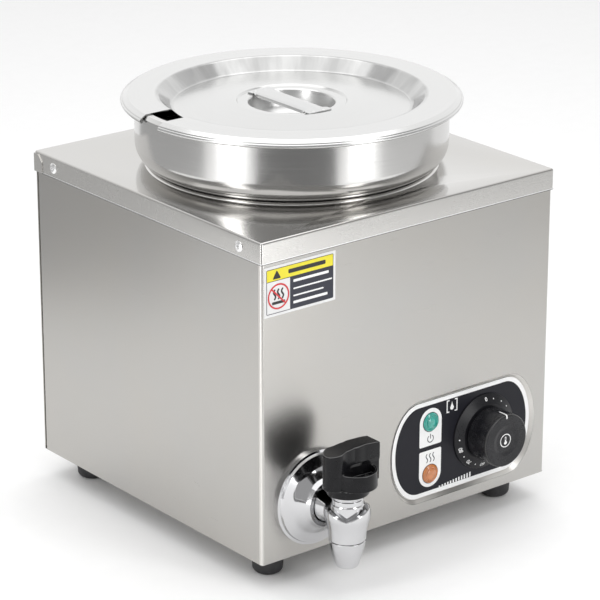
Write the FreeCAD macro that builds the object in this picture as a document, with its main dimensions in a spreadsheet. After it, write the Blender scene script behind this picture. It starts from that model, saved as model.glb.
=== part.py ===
import FreeCAD, Part
import math
import os
from FreeCAD import Placement, Rotation, Vector

# Single-pot water-bath cheese warmer with a drain tap.
# Frame: X to the right, Y to the back, Z up, millimetres.  The origin lies on the floor, in the
# middle of the whole object's length and width.  Sub-parts are drawn about the casing's middle and
# moved by frame_shift, because the tap stands further out in front than the gland does behind.

doc = FreeCAD.newDocument("cheese_warmer")

# ---------------------------------------------------------------- driving dimensions
DRIVING = {
    # casing
    "cover_width": 270.0,
    "cover_depth": 272.0,
    "cover_top": 259.2,
    "skirt_drop": 15.6,
    "cover_sheet": 0.7,
    "body_sheet": 0.8,
    "body_gap": 0.1,
    "casing_floor": 20.0,
    "opening_radius": 102.0,
    "rivet_reach": 111.6,
    # pot and lid
    "pot_radius": 114.8,
    "neck_radius": 101.7,
    "pot_floor": 104.0,
    "pot_rim_under": 309.3,
    "pot_sheet": 0.8,
    "lid_top": 311.0,
    "lid_sheet": 0.8,
    "well_radius": 97.6,
    # water tank and heating
    "tank_radius": 109.0,
    "tank_floor": 78.0,
    "tank_sheet": 0.8,
    "stud_reach": 83.4,
    "element_ring": 70.0,
    "element_level": 90.0,
    "element_tube": 4.0,
    # control panel
    "panel_x": 52.8,
    "panel_z": 67.9,
    "label_half_width": 67.0,
    "label_half_height": 37.0,
    "recess_depth": 2.6,
    "lamp_x": 22.6,
    "power_lamp_z": 88.2,
    "heating_lamp_z": 47.5,
    "lamp_radius": 7.2,
    "dial_x": 73.7,
    "dial_z": 68.3,
    "dial_radius": 29.0,
    "knob_radius": 20.4,
    "shaft_radius": 3.0,
    # tap
    "tap_x": -87.4,
    "tap_z": 61.2,
    "tap_reach": 36.5,
    "chamber_radius": 16.3,
    "bonnet_radius": 12.1,
    "stem_radius": 3.0,
    "running_gap": 0.05,
    # feet, gland and base
    "foot_reach": 109.0,
    "foot_radius": 12.3,
    "gland_x": 70.0,
    "gland_z": 45.0,
    "frame_shift": 20.0,
}

sheet = doc.addObject("Spreadsheet::Sheet", "Sizes")
for row, (alias, value) in enumerate(DRIVING.items(), start=1):
    sheet.set("A%d" % row, alias)
    sheet.set("B%d" % row, str(value))
    sheet.setAlias("B%d" % row, alias)
doc.recompute()


def dim(alias):
    """A driving dimension, read back from the sheet."""
    return float(sheet.get(alias))


# Faces of the casing, worked out from the cover's size.
SIDE_X = dim("cover_width") / 2 - dim("cover_sheet") - dim("body_gap")
FRONT_Y = -(dim("cover_depth") / 2 - dim("cover_sheet") - dim("body_gap"))
BACK_Y = -FRONT_Y
COVER_UNDER = dim("cover_top") - dim("cover_sheet")
FLOOR_Z = dim("casing_floor")
BASE_UNDER = FLOOR_Z + dim("body_sheet")
BASE_TOP = BASE_UNDER + dim("body_sheet")
RECESS_FLOOR_Y = FRONT_Y + dim("recess_depth")
PANEL_BACK_Y = RECESS_FLOOR_Y + dim("body_sheet")
LABEL_SHEET = 0.5
LABEL_FRONT_Y = RECESS_FLOOR_Y - LABEL_SHEET
TAP_Y = FRONT_Y - dim("tap_reach")
CORNER_BEND = 2.2
AROUND = {
    "X": Rotation(Vector(0, 1, 0), 90),
    "Y": Rotation(Vector(1, 0, 0), -90),
    "Z": Rotation(),
}

finished = []


# ---------------------------------------------------------------- drawing helpers
def bind(thing, **sizes):
    """Set properties to numbers, or bind them to expressions given as text."""
    for name, size in sizes.items():
        if isinstance(size, str):
            thing.setExpression(name, size)
        else:
            setattr(thing, name, size)
    return thing


def place(thing, at=(0, 0, 0), turn=Rotation()):
    """Put a shape at a point, each coordinate a number or an expression."""
    thing.Placement = Placement(Vector(*[0 if isinstance(v, str) else v for v in at]), turn)
    for letter, value in zip("xyz", at):
        if isinstance(value, str):
            thing.setExpression("Placement.Base." + letter, value)
    return thing


def box(name, low, high):
    """A block between two opposite corners."""
    block = doc.addObject("Part::Box", name)
    bind(block, Length=high[0] - low[0], Width=high[1] - low[1], Height=high[2] - low[2])
    return place(block, low)


def cylinder(name, radius, height, at=(0, 0, 0), axis="Z"):
    """A round bar that starts at a point and runs along an axis."""
    bar = doc.addObject("Part::Cylinder", name)
    bind(bar, Radius=radius, Height=height)
    return place(bar, at, AROUND[axis])


def hexagon(name, across_flats, height, at=(0, 0, 0), axis="Z"):
    """A six-sided bar, as long as the height, for nuts."""
    bar = doc.addObject("Part::Prism", name)
    bind(bar, Polygon=6, Circumradius=across_flats / math.sqrt(3), Height=height)
    return place(bar, at, AROUND[axis])


def fuse(name, *pieces):
    whole = doc.addObject("Part::MultiFuse", name)
    whole.Shapes = list(pieces)
    whole.Refine = True
    return whole


def cut(name, base, *tools):
    tool = tools[0] if len(tools) == 1 else fuse(name + "_tools", *tools)
    result = doc.addObject("Part::Cut", name)
    result.Base = base
    result.Tool = tool
    return result


def group(name, *pieces):
    """Separate solids that share one sub-part, such as a set of equal screws."""
    many = doc.addObject("Part::Compound", name)
    many.Links = list(pieces)
    return many


def rounded(name, base, radius, chosen):
    """Round the edges of a shape that the test picks."""
    doc.recompute()
    numbers = [i + 1 for i, edge in enumerate(base.Shape.Edges) if chosen(edge)]
    result = doc.addObject("Part::Fillet", name)
    result.Base = base
    result.Edges = [(i, radius, radius) for i in numbers]
    return result


def custom(name, shape):
    """A solid that Part's own functions make, where no feature fits."""
    solid = doc.addObject("Part::Feature", name)
    solid.Shape = shape
    return solid


def node(label, thing, at=(0, 0, 0), turn=Rotation()):
    """Name a finished sub-part and stand it in the object's frame."""
    x, y, z = at
    shifted = "Sizes.frame_shift + (%s)" % y
    place(thing, (x, shifted, z), turn)
    thing.Label = label
    finished.append(thing)
    return thing


# ---------------------------------------------------------------- outlines
def corner_points(vertices, closed):
    """Start, middle and end of the arc at each vertex (x, y or x, y, corner radius)."""
    corners = []
    count = len(vertices)
    for i, vertex in enumerate(vertices):
        here = Vector(vertex[0], vertex[1], 0)
        radius = vertex[2] if len(vertex) > 2 else 0.0
        if radius <= 0 or (not closed and i in (0, count - 1)):
            corners.append((here, here, here))
            continue
        before = (Vector(*vertices[i - 1][:2], 0) - here).normalize()
        after = (Vector(*vertices[(i + 1) % count][:2], 0) - here).normalize()
        half = before.getAngle(after) / 2
        reach = radius / math.tan(half)
        middle = (before + after).normalize() * (radius / math.sin(half) - radius)
        corners.append((here + before * reach, here + middle, here + after * reach))
    return corners


def outline_edges(vertices, closed=True):
    """Straight runs joined by tangent arcs through the vertices."""
    corners = corner_points(vertices, closed)
    edges = []
    for i, (start, middle, end) in enumerate(corners):
        if i or closed:
            leaving = corners[i - 1][2]
            if leaving.distanceToPoint(start) > 1e-6:
                edges.append(Part.LineSegment(leaving, start))
        if start.distanceToPoint(end) > 1e-6:
            edges.append(Part.Arc(start, middle, end))
    return edges


def sheet_outline(path, thickness):
    """Closed outline of a bent sheet: the path, and its offset to the left of the path.

    A negative thickness puts the metal on the right-hand side.
    """
    count = len(path)
    normals = []
    for here, there in zip(path, path[1:]):
        run = Vector(there[0] - here[0], there[1] - here[1], 0).normalize()
        normals.append(Vector(-run.y, run.x, 0))
    offset = []
    for i, vertex in enumerate(path):
        first = normals[max(i - 1, 0)]
        second = normals[min(i, count - 2)]
        miter = (first + second) * (thickness / (1 + first.dot(second)))
        radius = vertex[2] if len(vertex) > 2 else 0.0
        turn = first.cross(second).z
        if radius:
            radius = max(radius - math.copysign(thickness, turn * thickness), 0.05) \
                if turn > 0 else max(radius + thickness, 0.05)
        offset.append((vertex[0] + miter.x, vertex[1] + miter.y, radius))
    return list(path) + offset[::-1]


def origin_plane(body, role):
    return next(f for f in body.Origin.OriginFeatures if f.Role == role)


def sketch_on(body, role, edges):
    """A sketch on one of the body's own origin planes."""
    sketch = body.newObject("Sketcher::SketchObject", "Outline")
    sketch.AttachmentSupport = [(origin_plane(body, role), "")]
    sketch.MapMode = "FlatFace"
    for edge in edges:
        sketch.addGeometry(edge, False)
    return sketch


def turned(name, vertices, axis="Z"):
    """A body turned about Z or Y from an outline of (radius, distance along the axis)."""
    return turned_edges(name, outline_edges(vertices), axis)


def turned_edges(name, edges, axis="Z"):
    body = doc.addObject("PartDesign::Body", name)
    sketch = sketch_on(body, "XZ_Plane" if axis == "Z" else "XY_Plane", edges)
    turning = body.newObject("PartDesign::Revolution", "Turning")
    turning.Profile = sketch
    turning.ReferenceAxis = (sketch, ["V_Axis"])
    turning.Angle = 360
    body.Tip = turning
    return body


def padded(name, edges, length):
    """A body pushed up along Z from an outline on its XY plane."""
    body = doc.addObject("PartDesign::Body", name)
    pad = body.newObject("PartDesign::Pad", "Pad")
    pad.Profile = sketch_on(body, "XY_Plane", edges)
    bind(pad, Length=length)
    body.Tip = pad
    return body


def washer(name, inner, outer, height, at=(0, 0, 0), axis="Z"):
    """A flat ring or tube."""
    ring = cut(
        name,
        cylinder(name + "_outer", outer, height, (0, 0, 0), axis),
        cylinder(name + "_bore", inner, height, (0, 0, 0), axis),
    )
    return place(ring, at)


def nut(name, across_flats, bore, height, at=(0, 0, 0), axis="Z"):
    drilled = cut(
        name,
        hexagon(name + "_hex", across_flats, height, (0, 0, 0), axis),
        cylinder(name + "_bore", bore, height, (0, 0, 0), axis),
    )
    return place(drilled, at)


def screw(name, head_radius, head_height, shank_radius, shank_length, at, turn):
    """A pan-head screw: the head above its seat, the shank below, along its own Z."""
    rounding = min(head_height, head_radius) * 0.45
    body = turned(name, [
        (0, -shank_length),
        (shank_radius, -shank_length, shank_radius * 0.3),
        (shank_radius, 0),
        (head_radius, 0),
        (head_radius, head_height, rounding),
        (1.0, head_height),
        (1.0, head_height * 0.45),
        (0, head_height * 0.45),
    ])
    return place(body, at, turn)


def racetrack(half_width, half_height, end, y):
    """A closed wire in a plane of constant y: straight top and bottom, elliptic ends."""
    straight = half_width - end
    ends = []
    for side in (1, -1):
        ellipse = Part.Ellipse(Vector(0, 0, 0), half_height, end)
        arc = Part.ArcOfEllipse(ellipse, -math.pi / 2 * 0, math.pi)
        edge = arc.toShape()
        # The ellipse is drawn in XY with its long axis on X and its bulge towards +Y.
        edge.rotate(Vector(0, 0, 0), Vector(0, 0, 1), -90 * side)
        edge.translate(Vector(side * straight, 0, 0))
        edge.rotate(Vector(0, 0, 0), Vector(1, 0, 0), 90)
        edge.translate(Vector(0, y, 0))
        ends.append(edge)
    rails = [
        Part.makeLine(Vector(-straight, y, level), Vector(straight, y, level))
        for level in (half_height, -half_height)
    ]
    return Part.Wire(Part.__sortEdges__(ends + rails))


def racetrack_plate(half_width, half_height, end, front, back):
    """A flat plate of that outline between two y levels."""
    face = Part.Face(racetrack(half_width, half_height, end, front))
    return face.extrude(Vector(0, back - front, 0))


def round_tube(points, bend, radius):
    """A round tube along straight runs that tangent arcs join."""
    spots = [Vector(*p) for p in points]
    edges = []
    leaving = spots[0]
    for before, here, after in zip(spots, spots[1:], spots[2:]):
        back = (before - here).normalize()
        ahead = (after - here).normalize()
        half = back.getAngle(ahead) / 2
        reach = bend / math.tan(half)
        start = here + back * reach
        end = here + ahead * reach
        middle = here + (back + ahead).normalize() * (bend / math.sin(half) - bend)
        edges.append(Part.makeLine(leaving, start))
        edges.append(Part.Arc(start, middle, end).toShape())
        leaving = end
    edges.append(Part.makeLine(leaving, spots[-1]))
    path = Part.Wire(edges)
    section = Part.Wire([Part.makeCircle(radius, spots[0], (spots[1] - spots[0]).normalize())])
    tube = path.makePipeShell([section], True, False)
    expected = math.pi * radius ** 2 * path.Length
    if abs(tube.Volume - expected) > 0.02 * expected:
        raise ValueError("tube volume %.1f, expected %.1f" % (tube.Volume, expected))
    return tube


# ---------------------------------------------------------------- casing
RIVET_Z = dim("cover_top") - 8.2
PANEL_SCREWS = [(x, z) for x in (-127.0, 127.0) for z in (60.0, 140.0, 220.0)]
BASE_SCREWS = [(x, y) for x in (-104.0, 104.0) for y in (-128.0, 127.5)]
FEET = {
    "foot_front_left": (-1, -1),
    "foot_front_right": (1, -1),
    "foot_back_left": (-1, 1),
    "foot_back_right": (1, 1),
}


def foot_spots():
    reach = dim("foot_reach")
    return [(sx * reach, sy * reach) for sx, sy in FEET.values()]


def casing_shell():
    """Front and sides bent from one sheet, with the control recess pressed into the front."""
    thick = dim("body_sheet")
    lip = 12.2
    wrap_back = BACK_Y - thick
    path = [
        (-SIDE_X + lip, wrap_back),
        (-SIDE_X, wrap_back, CORNER_BEND),
        (-SIDE_X, FRONT_Y, CORNER_BEND),
        (SIDE_X, FRONT_Y, CORNER_BEND),
        (SIDE_X, wrap_back, CORNER_BEND),
        (SIDE_X - lip, wrap_back),
    ]
    height = "Sizes.cover_top - Sizes.cover_sheet - Sizes.casing_floor"
    wrap = place(padded("casing_wrap", outline_edges(sheet_outline(path, thick)), height), (0, 0, FLOOR_Z))
    inside = thick / 2
    flange = cut(
        "casing_flange",
        box("flange_outer", (-SIDE_X + inside, FRONT_Y + inside, FLOOR_Z), (SIDE_X - inside, wrap_back - inside, BASE_UNDER)),
        box("flange_inner", (-SIDE_X + lip, FRONT_Y + lip, FLOOR_Z), (SIDE_X - lip, wrap_back - lip, BASE_UNDER)),
    )
    half_width = dim("label_half_width") + 3.6
    half_height = dim("label_half_height") + 3.3
    pan = custom("recess_pan", racetrack_plate(half_width + 1.0, half_height + 1.0, 28.5, FRONT_Y, PANEL_BACK_Y))
    dish = custom("recess_dish", Part.makeLoft([
        racetrack(half_width + 0.1, half_height + 0.1, 27.6, FRONT_Y - 0.1),
        racetrack(half_width - 3.0, half_height - 2.7, 25.0, RECESS_FLOOR_Y),
    ], True))
    for piece in (pan, dish):
        place(piece, ("Sizes.panel_x", 0, "Sizes.panel_z"))
    through = PANEL_BACK_Y - FRONT_Y + 2
    holes = [
        cylinder("lamp_hole", 6.0, through, ("Sizes.lamp_x", FRONT_Y - 1, "Sizes." + level), "Y")
        for level in ("power_lamp_z", "heating_lamp_z")
    ]
    holes.append(cylinder("shaft_hole", 4.5, through, ("Sizes.dial_x", FRONT_Y - 1, "Sizes.dial_z"), "Y"))
    for side in (-14, 14):
        spot = ("Sizes.dial_x + (%d)" % side, FRONT_Y - 1, "Sizes.dial_z")
        holes.append(cylinder("thermostat_screw_hole", 2.1, through, spot, "Y"))
    holes.append(cylinder("tap_hole", 10.3, 4, ("Sizes.tap_x", FRONT_Y - 1, "Sizes.tap_z"), "Y"))
    for side in (-1, 1):
        spot = ("%d * Sizes.rivet_reach" % side, RIVET_Z)
        holes.append(cylinder("rivet_hole", 1.6, dim("cover_width"), (-SIDE_X - 1, spot[0], spot[1]), "X"))
    for x, z in PANEL_SCREWS:
        holes.append(cylinder("panel_screw_hole", 1.65, 4, (x, BACK_Y - 3, z), "Y"))
    for x, y in BASE_SCREWS:
        holes.append(cylinder("base_screw_hole", 1.65, 3, (x, y, FLOOR_Z - 1)))
    node("casing_shell", cut("casing", fuse("casing_solid", wrap, flange, pan), dish, *holes))


def back_panel():
    """Flat rear cover with cooling slots and the hole for the cable gland."""
    plate = box("panel_plate", (-SIDE_X, BACK_Y - dim("body_sheet"), FLOOR_Z), (SIDE_X, BACK_Y, COVER_UNDER))
    holes = [cylinder("gland_hole", 10.2, 4, ("Sizes.gland_x", BACK_Y - 2, "Sizes.gland_z"), "Y")]
    for x, z in PANEL_SCREWS:
        holes.append(cylinder("screw_clearance", 1.75, 4, (x, BACK_Y - 2, z), "Y"))
    for side in (-1, 1):
        spot = ("%d * Sizes.rivet_reach" % side, BACK_Y - 2, RIVET_Z)
        holes.append(cylinder("rear_rivet_hole", 1.6, 4, spot, "Y"))
    for level in range(5):
        z = 196.0 + 8.0 * level
        for x in (-60.0, 20.0):
            holes.append(box("cooling_slot", (x, BACK_Y - 2, z), (x + 40, BACK_Y + 2, z + 3.2)))
    node("back_panel", cut("rear_cover", plate, *holes))


def back_panel_screws():
    facing_back = Rotation(Vector(1, 0, 0), -90)
    node("back_panel_screws", group("panel_screws", *[
        screw("panel_screw", 3.4, 1.8, 1.6, 8.0, (x, BACK_Y, z), facing_back)
        for x, z in PANEL_SCREWS
    ]))


def base_plate():
    """Floor of the casing, resting on the wrapper's inward flange."""
    clear = dim("body_sheet") + 0.7
    plate = box(
        "floor_plate",
        (-SIDE_X + clear, FRONT_Y + clear, BASE_UNDER),
        (SIDE_X - clear, BACK_Y - dim("body_sheet") - clear, BASE_TOP),
    )
    holes = [cylinder("foot_hole", 2.2, 4, (x, y, BASE_UNDER - 1)) for x, y in foot_spots()]
    holes += [cylinder("flange_hole", 1.75, 4, (x, y, BASE_UNDER - 1)) for x, y in BASE_SCREWS]
    holes.append(cylinder("earth_hole", 2.05, 4, (EARTH_X, EARTH_Y, BASE_UNDER - 1)))
    for i in range(7):
        x = -42.0 + 14.0 * i
        holes.append(box("air_slot", (x - 1.8, -40, BASE_UNDER - 1), (x + 1.8, 20, BASE_TOP + 1)))
    node("base_plate", cut("casing_base", plate, *holes))


def base_screws():
    facing_down = Rotation(Vector(1, 0, 0), 180)
    node("base_screws", group("flange_screws", *[
        screw("flange_screw", 3.2, 1.7, 1.6, 6.0, (x, y, FLOOR_Z), facing_down)
        for x, y in BASE_SCREWS
    ]))


def feet():
    """Four tapered rubber feet with a counterbore for the fixing screw."""
    radius = dim("foot_radius")
    for label, (side_x, side_y) in FEET.items():
        foot = turned("rubber_foot", [
            (2.2, BASE_UNDER),
            (radius, BASE_UNDER, 0.5),
            (radius - 1.5, 0, 4.5),
            (5.0, 0, 0.5),
            (5.0, 9.5),
            (2.2, 9.5),
        ])
        node(label, foot, ("%d * Sizes.foot_reach" % side_x, "%d * Sizes.foot_reach" % side_y, 0))


def foot_fixings():
    facing_down = Rotation(Vector(1, 0, 0), 180)
    screws = [screw("foot_screw", 3.8, 2.4, 2.0, 18.0, (x, y, 9.5), facing_down) for x, y in foot_spots()]
    node("foot_screws", group("all_foot_screws", *screws))
    nuts = [nut("foot_nut", 7.0, 2.02, 3.2, (x, y, BASE_TOP)) for x, y in foot_spots()]
    node("foot_nuts", group("all_foot_nuts", *nuts))


def top_cover():
    """Shallow folded pan with a round opening whose edge is rolled down."""
    half_x = dim("cover_width") / 2
    half_y = dim("cover_depth") / 2
    top = dim("cover_top")
    bottom = top - dim("skirt_drop")
    thick = dim("cover_sheet")
    outer = box("cover_outer", (-half_x, -half_y, bottom), (half_x, half_y, top))
    soft = rounded("cover_soft", outer, 1.5, lambda edge: edge.CenterOfMass.z > bottom + 0.1)
    inner = box("cover_inner", (-half_x + thick, -half_y + thick, bottom - 1), (half_x - thick, half_y - thick, top - thick))
    pan = cut("cover_pan", soft, inner, cylinder("cover_opening", "Sizes.opening_radius + 8", 30, (0, 0, top - 15)))
    radius = dim("opening_radius")
    roll = turned("opening_roll", sheet_outline([
        (radius + 9, top),
        (radius, top, 2.0),
        (radius, top - 6.7),
    ], thick))
    lap = [
        (half_y, bottom),
        (half_y - 10, bottom),
        (half_y - 10, bottom + 8.5),
        (half_y - 5, bottom + 13.8),
        (half_y, bottom + 13.8),
    ]
    laps = []
    for x in (-half_x - thick, half_x):
        face = Part.Face(Part.makePolygon([Vector(x, y, z) for y, z in lap + lap[:1]]))
        laps.append(custom("corner_lap", face.extrude(Vector(thick, 0, 0))))
    holes = []
    for side in (-1, 1):
        spot = (-half_x - 1, "%d * Sizes.rivet_reach" % side, RIVET_Z)
        holes.append(cylinder("side_rivet_hole", 1.6, 2 * half_x + 2, spot, "X"))
        spot = ("%d * Sizes.rivet_reach" % side, half_y - 2, RIVET_Z)
        holes.append(cylinder("back_rivet_hole", 1.6, 4, spot, "Y"))
    node("top_cover", cut("folded_cover", fuse("cover_solid", pan, roll, *laps), *holes))


def cover_rivets():
    """Blind rivets with a hollow centre, two on each side skirt and two at the back."""
    half_x = dim("cover_width") / 2
    half_y = dim("cover_depth") / 2
    head = [
        (0, -6.0),
        (1.55, -6.0),
        (1.55, 0),
        (4.0, 0),
        (4.0, 0.5, 0.2),
        (2.4, 1.3, 0.8),
        (1.3, 1.3, 0.3),
        (1.3, 0.2),
        (0, 0.2),
    ]
    places = []
    for side in (-1, 1):
        y = side * dim("rivet_reach")
        places.append(((-half_x, y, RIVET_Z), Rotation(Vector(0, 1, 0), -90)))
        places.append(((half_x, y, RIVET_Z), Rotation(Vector(0, 1, 0), 90)))
        places.append(((side * dim("rivet_reach"), half_y, RIVET_Z), Rotation(Vector(1, 0, 0), -90)))
    node("cover_rivets", group("all_rivets", *[
        place(turned("rivet", head), spot, turn) for spot, turn in places
    ]))


# ---------------------------------------------------------------- pot and lid
def pot():
    """Inset pot: narrow body in the water, wide shoulder above the cover, flared rim."""
    neck = dim("neck_radius")
    wide = dim("pot_radius")
    floor = dim("pot_floor")
    rim = dim("pot_rim_under")
    shoulder = dim("cover_top") + 5.5
    node("pot", turned("inset_pot", sheet_outline([
        (0, floor),
        (neck, floor, 14),
        (neck, shoulder - 5.3, 4),
        (wide, shoulder, 17),
        (wide, rim, 1.2),
        (wide + 3.6, rim, 0.8),
        (wide + 5.5, rim - 1.9, 0.8),
        (wide + 5.5, rim - 5.1),
    ], dim("pot_sheet"))))


NOTCH_SIDES = (-5.0, 17.7)
NOTCH_END_X = -93.0


def lid():
    """Pressed lid with a sunken panel, a finger bowl, a beaded edge and a notch for the ladle."""
    top = dim("lid_top")
    well = dim("well_radius")
    disc = turned("lid_disc", sheet_outline([
        (0, top - 23.4),
        (25.5, top - 23.4, 9),
        (32.0, top - 7.3, 2.0),
        (39.6, top - 7.3, 0.4),
        (40.6, top - 6.1, 0.9),
        (well - 9.6, top - 9.7, 3.5),
        (well, top, 3.2),
        (119.5, top, 1.6),
        (123.2, top - 2.2, 1.6),
        (123.2, top - 5.4),
    ], -dim("lid_sheet")))
    bead = doc.addObject("Part::Torus", "edge_bead")
    bind(bead, Radius1=123.1, Radius2=1.6)
    place(bead, (0, 0, "Sizes.lid_top - 4.3"))
    low, high = NOTCH_SIDES
    slot = padded("ladle_slot", outline_edges([
        (-130, low),
        (NOTCH_END_X, low, 6),
        (NOTCH_END_X, high, 6),
        (-130, high),
    ]), 20)
    place(slot, (0, 0, top - 15))
    node("lid", cut("notched_lid", fuse("lid_solid", disc, bead), slot))


def lid_handle():
    """Strap across the finger bowl, its edges folded down and its feet spot-welded to the lid."""
    under = dim("lid_top") - 7.25
    half = 9.25
    reach = 36.5
    thick = 1.2
    strap = box("strap", (-half, -reach, under), (half, reach, under + thick))
    feet_pads = [
        box("strap_foot", (-half - 1.3, y, under), (half + 1.3, y + 5.0, under + thick))
        for y in (-reach, reach - 5.0)
    ]
    folds = [
        box("strap_fold", (x, -26.5, under - 2.4), (x + 1.0, 26.5, under + thick / 2))
        for x in (-half, half - 1.0)
    ]
    whole = fuse("strap_solid", strap, *feet_pads, *folds)

    def long_top_edge(edge):
        centre = edge.CenterOfMass
        return centre.z > under + thick - 0.01 and edge.Length > 40

    node("lid_handle", rounded("soft_strap", whole, 0.5, long_top_edge), (-2.5, 0, 0))


# ---------------------------------------------------------------- water tank and heating
DRAIN_X = dim("tap_x")
DRAIN_Y = -10.0
BULB_X = 30.0
BULB_GLAND_Y = -55.0
ELEMENT_END_ANGLE = 24.0
ELEMENT_BEND = 12.0


def element_legs():
    """Where the two ends of the element go down through the tank floor."""
    ring = dim("element_ring")
    angle = math.radians(90 - ELEMENT_END_ANGLE)
    x = ring * math.cos(angle) - ELEMENT_BEND * math.sin(angle)
    y = ring * math.sin(angle) + ELEMENT_BEND * math.cos(angle)
    return [(x, y), (-x, y)]


def water_tank():
    """Deep-drawn water bath that hangs by its flange from studs under the cover."""
    radius = dim("tank_radius")
    floor = dim("tank_floor")
    flange = COVER_UNDER - dim("tank_sheet")
    vessel = turned("tank_vessel", sheet_outline([
        (0, floor),
        (radius, floor, 5),
        (radius, flange, 2),
        (radius + 18, flange),
    ], dim("tank_sheet")))
    holes = [cylinder("stud_hole", 2.2, 4, (x, y, flange - 2)) for x, y in stud_spots()]
    holes += [cylinder("element_hole", 6.1, 6, (x, y, floor - 2)) for x, y in element_legs()]
    holes.append(cylinder("drain_hole", 7.1, 6, (DRAIN_X, DRAIN_Y, floor - 2)))
    holes.append(cylinder("bulb_hole", 3.1, 6, (BULB_X, BULB_GLAND_Y, floor - 2)))
    node("water_tank", cut("drilled_tank", vessel, *holes))


def stud_spots():
    reach = dim("stud_reach")
    return [(sx * reach, sy * reach) for sx in (-1, 1) for sy in (-1, 1)]


def tank_fixings():
    length = 11.0
    studs = [cylinder("weld_stud", 2.0, length, (x, y, COVER_UNDER - length)) for x, y in stud_spots()]
    node("tank_studs", group("all_studs", *studs))
    level = COVER_UNDER - dim("tank_sheet") - 3.2
    nuts = [nut("stud_nut", 7.0, 2.02, 3.2, (x, y, level)) for x, y in stud_spots()]
    node("tank_nuts", group("all_stud_nuts", *nuts))


def heating_element():
    """Tubular heater: a ring above the tank floor whose ends turn down through it."""
    ring = dim("element_ring")
    level = dim("element_level")
    radius = dim("element_tube")
    foot = level - ELEMENT_BEND
    bottom = 58.0

    def on_ring(degrees):
        angle = math.radians(degrees)
        return Vector(ring * math.cos(angle), ring * math.sin(angle), level)

    start = 90 + ELEMENT_END_ANGLE
    end = 450 - ELEMENT_END_ANGLE
    (right_x, leg_y), (left_x, _) = element_legs()
    slope = math.sqrt(0.5) * ELEMENT_BEND

    def bend(ring_end, leg_x):
        """Quarter turn from the ring's end down into the leg."""
        leg_top = Vector(leg_x, leg_y, foot)
        level_dir = (Vector(leg_x, leg_y, level) - ring_end).normalize()
        centre = ring_end - Vector(0, 0, ELEMENT_BEND)
        middle = centre + level_dir * slope + Vector(0, 0, slope)
        return Part.Arc(ring_end, middle, leg_top).toShape()

    edges = [
        Part.makeLine(Vector(left_x, leg_y, bottom), Vector(left_x, leg_y, foot)),
        bend(on_ring(start), left_x),
        Part.Arc(on_ring(start), on_ring((start + end) / 2), on_ring(end)).toShape(),
        bend(on_ring(end), right_x),
        Part.makeLine(Vector(right_x, leg_y, foot), Vector(right_x, leg_y, bottom)),
    ]
    path = Part.Wire(edges)
    section = Part.Wire([Part.makeCircle(radius, Vector(left_x, leg_y, bottom), Vector(0, 0, 1))])
    tube = custom("heater_tube", path.makePipeShell([section], True, False))
    floor = dim("tank_floor")
    bushes = []
    for x, y in element_legs():
        bushes.append(cylinder("bush_thread", 6.0, 15.5, (x, y, floor - 12.0)))
        bushes.append(cylinder("bush_collar", 9.0, 2.4, (x, y, floor + dim("tank_sheet") + 1.5)))
    node("heating_element", fuse("element_solid", tube, *bushes))


def element_fixings():
    floor = dim("tank_floor")
    inside = floor + dim("tank_sheet")
    gaskets = [washer("element_gasket", 6.05, 9.0, 1.5, (x, y, inside)) for x, y in element_legs()]
    node("element_gaskets", group("all_gaskets", *gaskets))
    nuts = [nut("element_nut", 17.0, 6.02, 5.0, (x, y, floor - 5.0)) for x, y in element_legs()]
    node("element_nuts", group("all_element_nuts", *nuts))
    terminals = []
    for x, y in element_legs():
        bead = cylinder("terminal_bead", 3.4, 4.0, (x, y, 54.0))
        tab = box("terminal_tab", (x - 3.15, y - 0.4, 46.0), (x + 3.15, y + 0.4, 54.5))
        terminals.append(fuse("element_terminal", bead, tab))
    node("element_terminals", group("all_terminals", *terminals))


def thermal_cutout():
    """Snap-disc safety switch pressed against the underside of the tank."""
    x, y = CUTOUT_X, CUTOUT_Y
    floor = dim("tank_floor")
    can = cylinder("cutout_can", 8.0, 4.0, (x, y, floor - 4.0))
    case = cylinder("cutout_case", 6.8, 6.0, (x, y, floor - 9.0))
    tabs = [
        box("cutout_tab", (x + s * 6.0 - 3.0, y - 3.1, floor - 9.6), (x + s * 6.0 + 3.0, y + 3.1, floor - 8.8))
        for s in (-1, 1)
    ]
    node("thermal_cutout", fuse("cutout_solid", can, case, *tabs))


CUTOUT_X = -20.0
CUTOUT_Y = -30.0


# ---------------------------------------------------------------- thermostat and panel
BRACKET_BACK_Y = PANEL_BACK_Y + 1.2
THERMOSTAT_DEPTH = 28.0


def panel_spot(y, across=0, up=0):
    return ("Sizes.dial_x + (%s)" % across, y, "Sizes.dial_z + (%s)" % up)


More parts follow.
